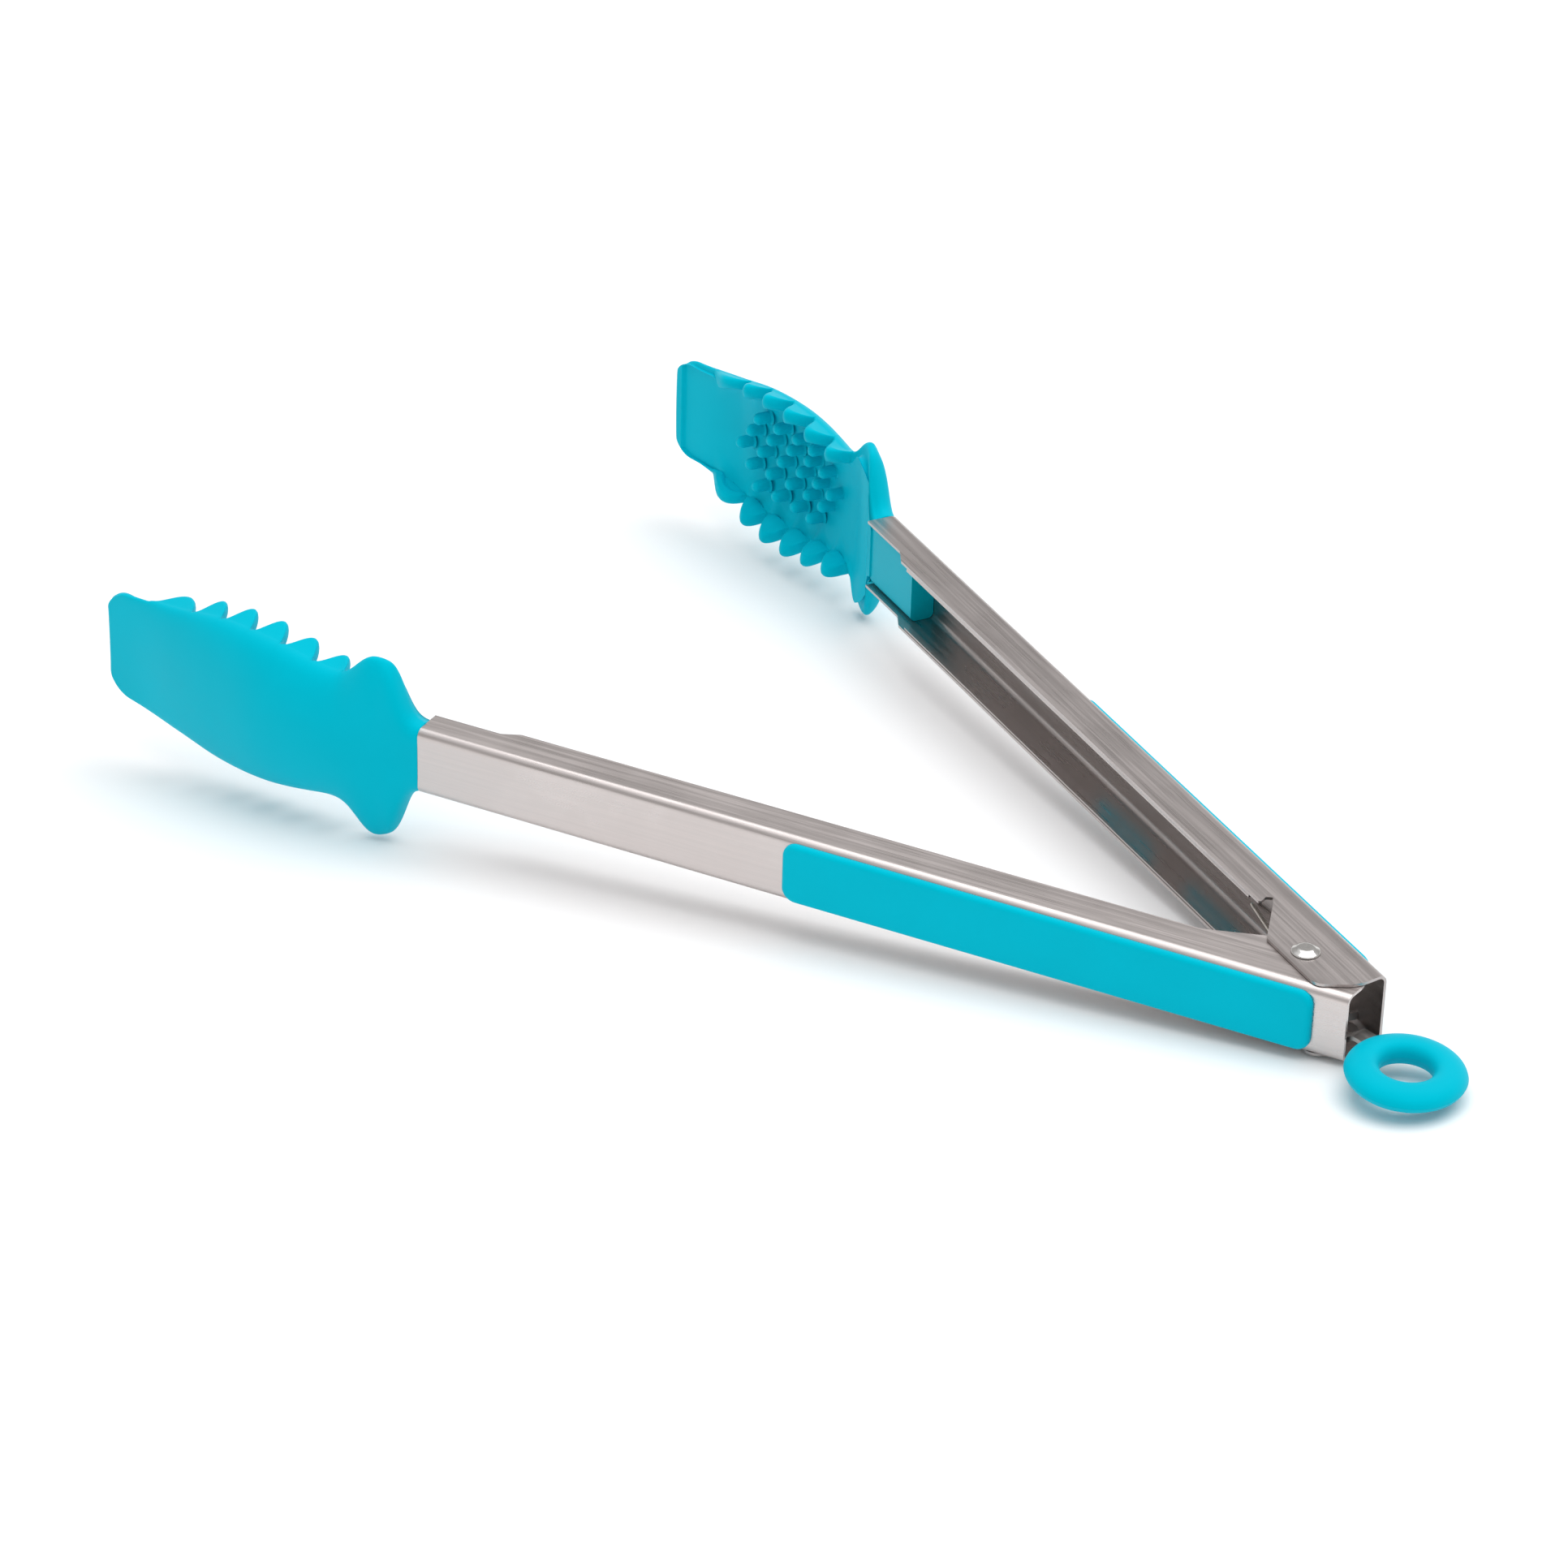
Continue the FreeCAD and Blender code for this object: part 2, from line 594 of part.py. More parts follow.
def make_head(name, width, turned_over):
    """Silicone head: a curved scoop with teeth along both rims, wings and a collar on the steel."""
    body = new_body(name)
    collar = new_sketch(body, f"{name}_collar_line", "YZ_Plane", "arm_front")
    half = f"({width}) / 2 + collar_lap"
    box_line(collar, "tang_face", "web_face + collar_skin", f"-({half})", half, "bend_radius")
    pad(body, collar, f"{name}_collar", "wing_place")
    wing = new_sketch(body, f"{name}_wing_line", "YZ_Plane", "arm_front + wing_place - wing_thick / 2")
    outline(wing, [
        ("wing_inner", "-wing_height", "wing_round"),
        ("wing_outer", "-wing_height", "wing_round"),
        ("wing_back", "-wing_shoulder"),
        ("wing_back", "wing_shoulder"),
        ("wing_outer", "wing_height", "wing_round"),
        ("wing_inner", "wing_height", "wing_round"),
    ])
    pad(body, wing, f"{name}_wing", "wing_thick")
    sections = [scoop_section(body, name, record[0]) for record in SCOOP]
    loft = body.newObject("PartDesign::AdditiveLoft", f"{name}_scoop")
    loft.Profile = sections[0]
    loft.Sections = sections[1:]
    loft.Ruled = False
    doc.recompute()
    for number in range(TEETH):
        place = f"(first_tooth - {number} * tooth_pitch)"
        rim = along("rim", place)
        half = along("half", place)
        for up in (1, -1):
            level = f"{up} * ({half} + tooth_flare - tooth_thick / 2)"
            tooth = new_sketch(body, f"{name}_tooth_line", "XY_Plane", level)
            foot = f"arm_front + {place}"
            outline(tooth, [
                (f"{foot} + tooth_toe", f"{rim} + tooth_root"),
                (f"{foot} + tooth_front", f"{rim} - tooth_reach", "tooth_round"),
                (f"{foot} - tooth_back", f"{rim} - tooth_reach", "tooth_round"),
                (f"{foot} - tooth_heel", f"{rim} + tooth_root"),
            ])
            pad(body, tooth, f"{name}_tooth", "tooth_thick", both_ways=True)
    core = new_sketch(body, f"{name}_stub_room_line", "YZ_Plane", "arm_front")
    middle = "web_face - sheet - tang_gap"
    box_line(core, f"{middle} - stub_thick", middle, "-stub_height / 2", "stub_height / 2", "stub_round")
    cut(body, core, f"{name}_stub_room", "stub_length", turned=True)
    stand(body, turned_over)


make_head("inner_head", "inner_width", False)
make_head("outer_head", OUTER_WIDTH, True)


def make_lock():
    """Lock slide: a strip slotted for the rivet, with cross arms and a tail raised to the ring."""
    body = new_body("lock_slide")
    tail = "ring_x - tail_end * cos(ring_tilt)"
    middle = "ring_z + tail_end * sin(ring_tilt)"
    bend = "tail_bend + tail_run"
    top = f"ring_z + (ring_x - ({bend})) * tan(ring_tilt)"
    inner = "-(lock_travel + rivet_radius + lock_slot_wall + lock_play)"
    side = new_sketch(body, "lock_side", "XZ_Plane")
    outline(side, [
        (inner, "-lock_level"),
        ("tail_bend + tail_shift", "-lock_level", "tail_inner"),
        (f"{bend} + tail_shift", f"{top} - lock_thick / 2", "tail_inner"),
        (tail, f"{middle} - lock_thick / 2"),
        (tail, f"{middle} + lock_thick / 2"),
        (bend, f"{top} + lock_thick / 2", "tail_outer"),
        ("tail_bend", "lock_thick - lock_level", "tail_outer"),
        (inner, "lock_thick - lock_level"),
    ])
    pad(body, side, "lock_strip", "4 * lock_reach", both_ways=True)
    plan = new_sketch(body, "lock_plan", "XY_Plane")
    wide = "rivet_radius + lock_play + lock_slot_wall"
    front, rear = "lock_arm_back - lock_arm", "lock_arm_back"
    end = f"{tail} + spare"
    box_line(plan, f"{inner} - 2 * spare", f"{tail} + 2 * spare", "-3 * lock_reach", "3 * lock_reach")
    outline(plan, [
        (inner, f"-({wide})", "lock_round"),
        (front, f"-({wide})"),
        (front, "-lock_reach", "lock_arm_round"),
        (rear, "-lock_reach", "lock_arm_round"),
        (rear, f"-({wide})"),
        ("tail_bend - tail_neck", f"-({wide})", "tail_round"),
        ("tail_bend", "tail_y - tail_half", "tail_round"),
        (end, "tail_y - tail_half"),
        (end, "tail_y + tail_half"),
        ("tail_bend", "tail_y + tail_half", "tail_round"),
        ("tail_bend - tail_neck", wide, "tail_round"),
        (rear, wide),
        (rear, "lock_reach", "lock_arm_round"),
        (front, "lock_reach", "lock_arm_round"),
        (front, wide),
        (inner, wide, "lock_round"),
    ])
    cut(body, plan, "lock_outline", "6 * lock_level", both_ways=True)
    slot = new_sketch(body, "lock_slot_line", "XY_Plane")
    reach = "(rivet_radius + lock_play)"
    box_line(slot, f"-lock_travel - {reach}", reach, f"-{reach}", reach, "lock_slot_round")
    cut(body, slot, "lock_slot", "6 * lock_level", both_ways=True)
    stand(body, on_arm=False)


def make_ring():
    """Silicone pull ring, moulded over the end of the lock slide's tail."""
    body = new_body("pull_ring")
    band = new_sketch(body, "ring_band", "XZ_Plane")
    box_line(band, "ring_hole", "ring_outer", "-ring_thick / 2", "ring_thick / 2", "ring_round")
    turn = body.newObject("PartDesign::Revolution", "ring_turn")
    turn.Profile = band
    turn.ReferenceAxis = (band, ["V_Axis"])
    turn.Angle = 360
    doc.recompute()
    room = new_sketch(body, "ring_room_line", "YZ_Plane", "-tail_end + ring_gap")
    side = "tail_y - ring_y"
    box_line(room, f"{side} - tail_half - ring_gap", f"{side} + tail_half + ring_gap",
             "-lock_thick / 2 - ring_gap", "lock_thick / 2 + ring_gap")
    cut(body, room, "ring_room", "ring_outer")
    bind(body, "Placement.Rotation.Pitch", "ring_tilt")
    for axis in ("x", "y", "z"):
        bind(body, f"Placement.Base.{axis}", f"ring_{axis} + shift_{axis}")


make_lock()
make_ring()

doc.recompute()

# The origin is the middle of the underside of the whole object's box.
pieces = [doc.getObjectsByLabel(name)[0] for name in NODES]
boxes = [piece.Shape.optimalBoundingBox(False, False) for piece in pieces]
lowest = [min(getattr(box, side) for box in boxes) for side in ("XMin", "YMin", "ZMin")]
highest = [max(getattr(box, side) for box in boxes) for side in ("XMax", "YMax")]
shifts = [-(lowest[0] + highest[0]) / 2, -(lowest[1] + highest[1]) / 2, -lowest[2]]
for axis, shift in zip("xyz", shifts):
    sheet.set(sheet.getCellFromAlias(f"shift_{axis}"), str(shift))
doc.recompute()

for thing in doc.Objects:
    if "Invalid" in thing.State or "Error" in thing.State:
        raise ValueError(f"{thing.Name} could not be built")
os.makedirs("parts", exist_ok=True)
for piece in pieces:
    if piece.Shape.isNull() or not piece.Shape.isValid() or len(piece.Shape.Solids) != 1:
        found = [solid.Volume for solid in piece.Shape.Solids]
        raise ValueError(f"{piece.Label} is not one valid solid: {found}")
for piece in pieces:
    piece.Shape.exportStep(f"parts/{piece.Label}.step")
    print(piece.Label, round(piece.Shape.Volume, 1))
print("shift", value("shift_x"), value("shift_y"), value("shift_z"))
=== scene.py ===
import json
import math

import bmesh
import bpy
import numpy as np
from mathutils import Matrix, Vector


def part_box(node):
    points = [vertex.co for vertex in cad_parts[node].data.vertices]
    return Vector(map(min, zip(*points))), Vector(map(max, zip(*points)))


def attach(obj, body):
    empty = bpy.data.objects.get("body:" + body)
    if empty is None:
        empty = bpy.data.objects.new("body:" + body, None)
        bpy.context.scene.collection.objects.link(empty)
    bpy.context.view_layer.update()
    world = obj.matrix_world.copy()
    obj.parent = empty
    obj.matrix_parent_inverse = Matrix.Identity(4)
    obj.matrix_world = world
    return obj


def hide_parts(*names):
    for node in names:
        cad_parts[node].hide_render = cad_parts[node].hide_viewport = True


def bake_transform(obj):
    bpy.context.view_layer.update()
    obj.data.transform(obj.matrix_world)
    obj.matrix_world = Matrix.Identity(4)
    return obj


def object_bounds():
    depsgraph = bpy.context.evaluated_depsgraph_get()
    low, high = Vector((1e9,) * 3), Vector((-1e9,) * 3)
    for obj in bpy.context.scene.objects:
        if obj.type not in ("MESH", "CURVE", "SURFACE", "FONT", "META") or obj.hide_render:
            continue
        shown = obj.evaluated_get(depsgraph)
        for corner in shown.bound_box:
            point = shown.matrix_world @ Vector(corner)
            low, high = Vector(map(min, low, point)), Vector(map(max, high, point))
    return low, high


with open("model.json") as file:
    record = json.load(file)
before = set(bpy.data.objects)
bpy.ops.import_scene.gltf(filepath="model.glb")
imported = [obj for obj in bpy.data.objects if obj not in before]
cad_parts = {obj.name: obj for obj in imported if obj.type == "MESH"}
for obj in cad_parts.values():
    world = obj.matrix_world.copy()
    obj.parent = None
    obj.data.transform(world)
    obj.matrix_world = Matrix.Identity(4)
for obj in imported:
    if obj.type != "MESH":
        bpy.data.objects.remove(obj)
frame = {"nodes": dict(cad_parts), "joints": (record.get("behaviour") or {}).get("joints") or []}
cad_low, cad_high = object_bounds()
MM = 0.001

# ---------------------------------------------------------------------------------------------
# The two arms: channels pressed from stainless sheet that was brushed lengthwise before it was
# bent.  What is fixed to an arm is drawn in its own axes: u from the rivet towards the head, v
# out to the channel's web, and w along the rivet.

pivot = Vector(next(j for j in frame["joints"] if j["name"] == "arm_pivot")["pos_m"])
ARM_LEAN = math.radians(18.3)            # each arm from the centre line, lying open
ARM_LENGTH = 219.0                       # rivet to the steel's head end
WEB_FACE = 11.8                          # rivet to the outer face of the web
SHEET = 0.7
STEEL_TONE = (0.61, 0.56, 0.545)
STEEL_DARK = (0.42, 0.39, 0.38)
HANDLED = 1.10                           # how much lighter the steel is where it was handled
GRAIN_SHARE = 0.30                       # how much of the colour follows the brushed lines
ARM_PAINTED_SHADE = {"inner": 1.0, "outer": 0.82}     # painted shade: the far (outer) arm's steel is drawn darker, in place of the light that falls on it
SIDES = {"inner": -1, "outer": 1}        # which side of the centre line each arm lies on


def on_arm(points, side):
    """Points (u, v, w) of one arm, in millimetres, as row-frame points in metres.

    The arm is turned by its lean about the rivet; the outer arm is also turned over, which makes
    w point down, so both arms keep their surfaces the right way out.
    """
    u, v, w = np.moveaxis(np.asarray(points, float), -1, 0)
    x = -u * math.cos(ARM_LEAN) + v * math.sin(ARM_LEAN)
    y = side * (u * math.sin(ARM_LEAN) + v * math.cos(ARM_LEAN))
    z = -side * w
    return np.stack([x, y, z], axis=-1) * MM + np.array(pivot)


def new_group(name, inputs, outputs):
    """An empty node group with float, colour or vector sockets, given as (name, kind, value)."""
    group = bpy.data.node_groups.new(name, "ShaderNodeTree")
    for label, kind, start in inputs:
        socket = group.interface.new_socket(label, in_out="INPUT", socket_type=f"NodeSocket{kind}")
        if start is not None:
            socket.default_value = start
    for label, kind in outputs:
        group.interface.new_socket(label, in_out="OUTPUT", socket_type=f"NodeSocket{kind}")
    return group, group.nodes.new("NodeGroupInput"), group.nodes.new("NodeGroupOutput")


def add_node(tree, kind, settings=(), **links):
    """One shader node with its settings, its inputs linked or set by name."""
    node = tree.nodes.new(kind)
    for name, setting in dict(settings).items():
        setattr(node, name, setting)
    for name, source in links.items():
        socket = node.inputs[int(name[1:])] if name[0] == "_" else node.inputs[name.replace("_", " ")]
        if isinstance(source, bpy.types.NodeSocket):
            tree.links.new(source, socket)
        else:
            socket.default_value = source
    return node


def mix_colours(tree, factor, first, second):
    """A colour between two others."""
    node = add_node(tree, "ShaderNodeMix", {"data_type": "RGBA"}, _0=factor, _6=first, _7=second)
    return node.outputs[2]


def spread(tree, source, low, high, to_low, to_high):
    """A number moved smoothly from one range to another and held at the ends."""
    settings = {"interpolation_type": "SMOOTHSTEP", "clamp": True}
    node = add_node(tree, "ShaderNodeMapRange", settings, _0=source, _1=low, _2=high, _3=to_low, _4=to_high)
    return node.outputs[0]


def brushing_group():
    """Fine lines along X, broken into strokes, over slow cloudy changes of tone.

    Puts out a tone from 0 to 1, a smudge mask and a height, all from the position it is given.
    """
    group, given, result = new_group(
        "brushed_grain",
        [("Position", "Vector", None), ("Line Scale", "Float", 2600.0), ("Stroke", "Float", 40.0)],
        [("Tone", "Float"), ("Smudge", "Float"), ("Height", "Float")])
    place, scale, stroke = given.outputs[0], given.outputs[1], given.outputs[2]
    apart = add_node(group, "ShaderNodeSeparateXYZ", Vector=place).outputs
    long = add_node(group, "ShaderNodeMath", {"operation": "MULTIPLY"}, _0=apart[0], _1=stroke)
    across = add_node(group, "ShaderNodeMath", {"operation": "MULTIPLY"}, _0=apart[1], _1=scale)
    tall = add_node(group, "ShaderNodeMath", {"operation": "MULTIPLY"}, _0=apart[2], _1=scale)
    lined = add_node(group, "ShaderNodeCombineXYZ", X=long.outputs[0], Y=across.outputs[0],
                     Z=tall.outputs[0]).outputs[0]
    fine = add_node(group, "ShaderNodeTexNoise", Vector=lined, Scale=1.0, Detail=3.0, Roughness=0.6)
    coarse = add_node(group, "ShaderNodeTexNoise", Vector=lined, Scale=0.23, Detail=2.0, Roughness=0.5)
    cloud = add_node(group, "ShaderNodeTexNoise", Vector=place, Scale=38.0, Detail=3.0, Roughness=0.55)
    lines = add_node(group, "ShaderNodeMath", {"operation": "ADD"}, _0=fine.outputs[0],
                     _1=coarse.outputs[0])
    tone = spread(group, lines.outputs[0], 0.7, 1.35, 0.0, 1.0)
    smudge = spread(group, cloud.outputs[0], 0.38, 0.66, 0.0, 1.0)
    group.links.new(tone, result.inputs[0])
    group.links.new(smudge, result.inputs[1])
    group.links.new(lines.outputs[0], result.inputs[2])
    return group


brushed_grain = brushing_group()


def brushed_steel(name, turn, light, dark, rough=(0.24, 0.40)):
    """Brushed stainless steel, its lines turned about Z to run along the piece."""
    finish = bpy.data.materials.new(name)
    finish.use_nodes = True
    tree = finish.node_tree
    shader = tree.nodes["Principled BSDF"]
    position = add_node(tree, "ShaderNodeTexCoord").outputs["Object"]
    turned = add_node(tree, "ShaderNodeMapping", {"vector_type": "TEXTURE"}, Vector=position,
                      Location=tuple(pivot), Rotation=(0.0, 0.0, turn)).outputs[0]
    grain = tree.nodes.new("ShaderNodeGroup")
    grain.node_tree = brushed_grain
    tree.links.new(turned, grain.inputs[0])
    tone, smudge, height = grain.outputs
    lined = mix_colours(tree, tone, (*dark, 1), (*light, 1))
    brighter = tuple(min(1.0, part * HANDLED) for part in light)
    worn = mix_colours(tree, spread(tree, smudge, 0, 1, 0.25, 0.75), (*light, 1), (*brighter, 1))
    colour = mix_colours(tree, GRAIN_SHARE, worn, lined)
    tree.links.new(colour, shader.inputs["Base Color"])
    grained = spread(tree, tone, 0, 1, *rough)
    handled = spread(tree, smudge, 0, 1, 0.06, 0.0)
    gloss = add_node(tree, "ShaderNodeMath", {"operation": "ADD"}, _0=grained, _1=handled)
    tree.links.new(gloss.outputs[0], shader.inputs["Roughness"])
    shader.inputs["Metallic"].default_value = 1.0
    bump = add_node(tree, "ShaderNodeBump", Strength=0.22, Distance=0.00004, Height=height)
    tree.links.new(bump.outputs[0], shader.inputs["Normal"])
    return finish


def dress(piece, *finishes):
    """Give a piece its materials, in place of any that it has."""
    piece.data.materials.clear()
    for finish in finishes:
        piece.data.materials.append(finish)
    return piece


# Painted shade: each arm's steel tones are scaled by its factor above, so the outer arm is drawn darker than
# the inner one.
for arm, side in SIDES.items():
    light = tuple(part * ARM_PAINTED_SHADE[arm] for part in STEEL_TONE)
    dark = tuple(part * ARM_PAINTED_SHADE[arm] for part in STEEL_DARK)
    steel = brushed_steel(f"{arm}_arm_brushed_steel", -side * ARM_LEAN, light, dark)
    dress(frame["nodes"][f"{arm}_arm"], steel)

# ---------------------------------------------------------------------------------------------
# The pivot rivet: a plain steel rivet with a low, bright dome at each end.  It was set cold, so
# the domes are burnished smooth, with faint turning rings left by the setting tool.

RIVET_TONE = (0.70, 0.69, 0.67)
MARKED = 0.72                    # tone of the marks on turned metal, against the rest


def turned_metal(name, tone, rough, ring_scale, depth):
    """Bright turned metal, with rings about the rivet's axis."""
    finish = bpy.data.materials.new(name)
    finish.use_nodes = True
    tree = finish.node_tree
    shader = tree.nodes["Principled BSDF"]
    position = add_node(tree, "ShaderNodeTexCoord").outputs["Object"]
    centred = add_node(tree, "ShaderNodeMapping", {"vector_type": "TEXTURE"}, Vector=position,
                       Location=tuple(pivot)).outputs[0]
    apart = add_node(tree, "ShaderNodeSeparateXYZ", Vector=centred).outputs
    flat = add_node(tree, "ShaderNodeCombineXYZ", X=apart[0], Y=apart[1], Z=0.0).outputs[0]
    reach = add_node(tree, "ShaderNodeVectorMath", {"operation": "LENGTH"}, _0=flat).outputs["Value"]
    ring_place = add_node(tree, "ShaderNodeCombineXYZ", X=reach, Y=0.0, Z=0.0).outputs[0]
    rings = add_node(tree, "ShaderNodeTexNoise", Vector=ring_place, Scale=ring_scale, Detail=2.0)
    marks = add_node(tree, "ShaderNodeTexNoise", Vector=centred, Scale=900.0, Detail=3.0)
    darker = tuple(part * MARKED for part in tone)
    marked = spread(tree, marks.outputs[0], 0.35, 0.65, 0.0, 0.5)
    colour = mix_colours(tree, marked, (*tone, 1), (*darker, 1))
    tree.links.new(colour, shader.inputs["Base Color"])
    gloss = spread(tree, marks.outputs[0], 0.3, 0.7, rough, rough + 0.1)
    tree.links.new(gloss, shader.inputs["Roughness"])
    shader.inputs["Metallic"].default_value = 1.0
    bump = add_node(tree, "ShaderNodeBump", Strength=0.3, Distance=depth, Height=rings.outputs[0])
    tree.links.new(bump.outputs[0], shader.inputs["Normal"])
    return finish


rivet_steel = turned_metal("burnished_rivet_steel", RIVET_TONE, 0.12, 2500.0, 0.00003)
dress(frame["nodes"]["pivot_rivet"], rivet_steel)

# ---------------------------------------------------------------------------------------------
# The torsion spring: hard drawn wire, coiled round the rivet between the arms' ears, with one
# straight leg lying against each web.  It is one wire, so it is one tube along one path, and it
# twists where it crosses from one arm to the other.

WIRE = 1.2
COIL_RADIUS = 3.05
COIL_PITCH = 1.35
WHOLE_TURNS = 4
LEG_LENGTH = 40.0
LEG_LEAN = ARM_LEAN + math.radians(10.2)     # each leg from the centre line
WIRE_TONE = (0.50, 0.46, 0.42)
WIRE_SIDES = 20
END_ROUND = 0.4                              # how far a cut end bulges, in radii
COIL_STEPS, LEG_STEPS = 260, 40
LEG_START = 0.6                              # a leg's first point past the coil


def mesh_piece(name, points, faces, finish):
    """A smooth mesh object from an array of points and one of four-sided faces, at the origin."""
    mesh = bpy.data.meshes.new(name)
    mesh.vertices.add(len(points))
    mesh.vertices.foreach_set("co", np.ascontiguousarray(points, np.float32).ravel())
    mesh.loops.add(faces.size)
    mesh.loops.foreach_set("vertex_index", np.ascontiguousarray(faces, np.int32).ravel())
    mesh.polygons.add(len(faces))
    mesh.polygons.foreach_set("loop_start", np.arange(0, faces.size, 4, dtype=np.int32))
    mesh.polygons.foreach_set("use_smooth", np.ones(len(faces), bool))
    mesh.update(calc_edges=True)
    piece = bpy.data.objects.new(name, mesh)
    bpy.context.scene.collection.objects.link(piece)
    close_seams(piece)
    mesh.materials.append(finish)
    return piece


def close_seams(piece, gap=1e-7):
    """Merge the points that lie on each other at seams and poles, and drop faces with no area."""
    work = bmesh.new()
    work.from_mesh(piece.data)
    bmesh.ops.remove_doubles(work, verts=work.verts, dist=gap)
    bmesh.ops.dissolve_degenerate(work, edges=work.edges, dist=gap)
    work.to_mesh(piece.data)
    work.free()


def grid_faces(rows, columns, round_rows=False, round_columns=False):
    """Four-sided faces of a grid of points; a round direction runs back to its first line."""
    row = np.arange(rows if round_rows else rows - 1)
    column = np.arange(columns if round_columns else columns - 1)
    row, column = (line.ravel() for line in np.meshgrid(row, column, indexing="ij"))
    below, beside = (row + 1) % rows, (column + 1) % columns
    near, far = row * columns, below * columns
    return np.stack([near + column, far + column, far + beside, near + beside], axis=1)


def tube(path, radius, sides):
    """A round wire along a path: at each point a circle square to the path, with domed ends.

    The circle's first radius is the cross product of the Z axis and the path.
    """
    along = np.gradient(path, axis=0)
    along /= np.linalg.norm(along, axis=1, keepdims=True)
    across = np.cross(np.array((0.0, 0.0, 1.0)), along)
    across /= np.linalg.norm(across, axis=1, keepdims=True)
    over = np.cross(along, across)
    turn = np.linspace(0, 2 * math.pi, sides, endpoint=False)
    circle = np.cos(turn)[:, None] * across[:, None] + np.sin(turn)[:, None] * over[:, None]
    dome = np.sin(np.linspace(0, math.pi / 2, 5))[:-1]
    swell = np.concatenate([dome, np.ones(len(path)), dome[::-1]])
    ends = np.sqrt(1 - dome ** 2) * radius * END_ROUND
    lower = path[0] - along[0] * ends[:, None]
    upper = path[-1] + along[-1] * ends[::-1, None]
    middle = np.concatenate([lower, path, upper])
    count = len(dome)
    circles = np.concatenate([np.repeat(circle[:1], count, 0), circle, np.repeat(circle[-1:], count, 0)])
    points = middle[:, None] + circles * swell[:, None, None] * radius
    faces = grid_faces(len(middle), sides, round_columns=True)
    return points.reshape(-1, 3), faces[:, ::-1]


def spring_path():
    """Leg tip, leg, coil, leg, leg tip.

    The coil is a left-handed helix that starts and ends where a leg touches it, and a leg runs
    straight on along the tangent there.
    """
    turns = WHOLE_TURNS + (math.pi / 2 - LEG_LEAN) / math.pi
    rise = COIL_PITCH * turns
    share = np.linspace(0, 1, COIL_STEPS)
    angle = math.pi / 2 - LEG_LEAN - 2 * math.pi * turns * share
    coil = np.stack([COIL_RADIUS * np.cos(angle), COIL_RADIUS * np.sin(angle), rise * (share - 0.5)], axis=1)
    legs = []
    for end, side in ((coil[0], 1), (coil[-1], -1)):
        away = np.array([-math.cos(LEG_LEAN), side * math.sin(LEG_LEAN), 0.0])
        reach = np.linspace(LEG_START, LEG_LENGTH, LEG_STEPS)
        legs.append(end + reach[:, None] * away)
    return np.concatenate([legs[0][::-1], coil, legs[1]]) * MM + np.array(pivot)


drawn_wire = turned_metal("drawn_spring_wire", WIRE_TONE, 0.28, 900.0, 0.00001)
points, faces = tube(spring_path(), WIRE / 2 * MM, WIRE_SIDES)
spring = mesh_piece("spring_wire", points, faces, drawn_wire)
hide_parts("torsion_spring")
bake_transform(spring)

# ---------------------------------------------------------------------------------------------
# The silicone grips.  A long pad with rounded corners and a soft edge lies on each web, moulded
# through two slots in the steel that hold it there.  Cast in matt tooling, dyed right through.

SILICONE_TONE = (0.0, 0.49, 0.635)
SHINE_TINT = (0.0, 0.72, 0.86)
CLOUDED = 0.94                   # tone of the darker clouds, against the rest
LINT = 0.02                      # how much paler the lint is
GRIP_BACK, GRIP_FRONT = -7.2, 122.6
GRIP_HEIGHT = 15.2
GRIP_THICK = 1.5
GRIP_CORNER = 3.4
GRIP_EDGE = 1.1
GRIP_CROWN = 0.12                # how much fuller the pad is along its middle
SLOT_PLACES = (56.0, 98.0)
SLOT_LENGTH, SLOT_HEIGHT, SLOT_CORNER = 26.0, 6.0, 2.0
BOSS_EDGE = 0.1
BOSS_LAP = 0.2                   # how far a boss reaches into the pad
PAD_TURN = 96                    # points around a pad


def moulded_group():
    """The skin of moulded rubber: slow unevenness of tone, fine pits of matt tooling, lint specks."""
    group, given, result = new_group(
        "moulded_skin",
        [("Position", "Vector", None), ("Pit Scale", "Float", 4200.0)],
        [("Cloud", "Float"), ("Speck", "Float"), ("Height", "Float")])
    place, scale = given.outputs[0], given.outputs[1]
    cloud = add_node(group, "ShaderNodeTexNoise", Vector=place, Scale=26.0, Detail=3.0, Roughness=0.5)
    pits = add_node(group, "ShaderNodeTexNoise", Vector=place, Scale=scale, Detail=2.0, Roughness=0.6)
    waves = add_node(group, "ShaderNodeTexNoise", Vector=place, Scale=160.0, Detail=2.0, Roughness=0.5)
    dots = add_node(group, "ShaderNodeTexVoronoi", Vector=place, Scale=420.0, Randomness=1.0)
    speck = spread(group, dots.outputs["Distance"], 0.02, 0.10, 1.0, 0.0)
    rare = spread(group, cloud.outputs[0], 0.55, 0.70, 0.0, 1.0)
    kept = add_node(group, "ShaderNodeMath", {"operation": "MULTIPLY"}, _0=speck, _1=rare)
    deep = add_node(group, "ShaderNodeMath", {"operation": "MULTIPLY_ADD"}, _0=waves.outputs[0], _1=2.5,
                    _2=pits.outputs[0])
    group.links.new(spread(group, cloud.outputs[0], 0.3, 0.7, 0.0, 1.0), result.inputs[0])
    group.links.new(kept.outputs[0], result.inputs[1])
    group.links.new(deep.outputs[0], result.inputs[2])
    return group


moulded_skin = moulded_group()


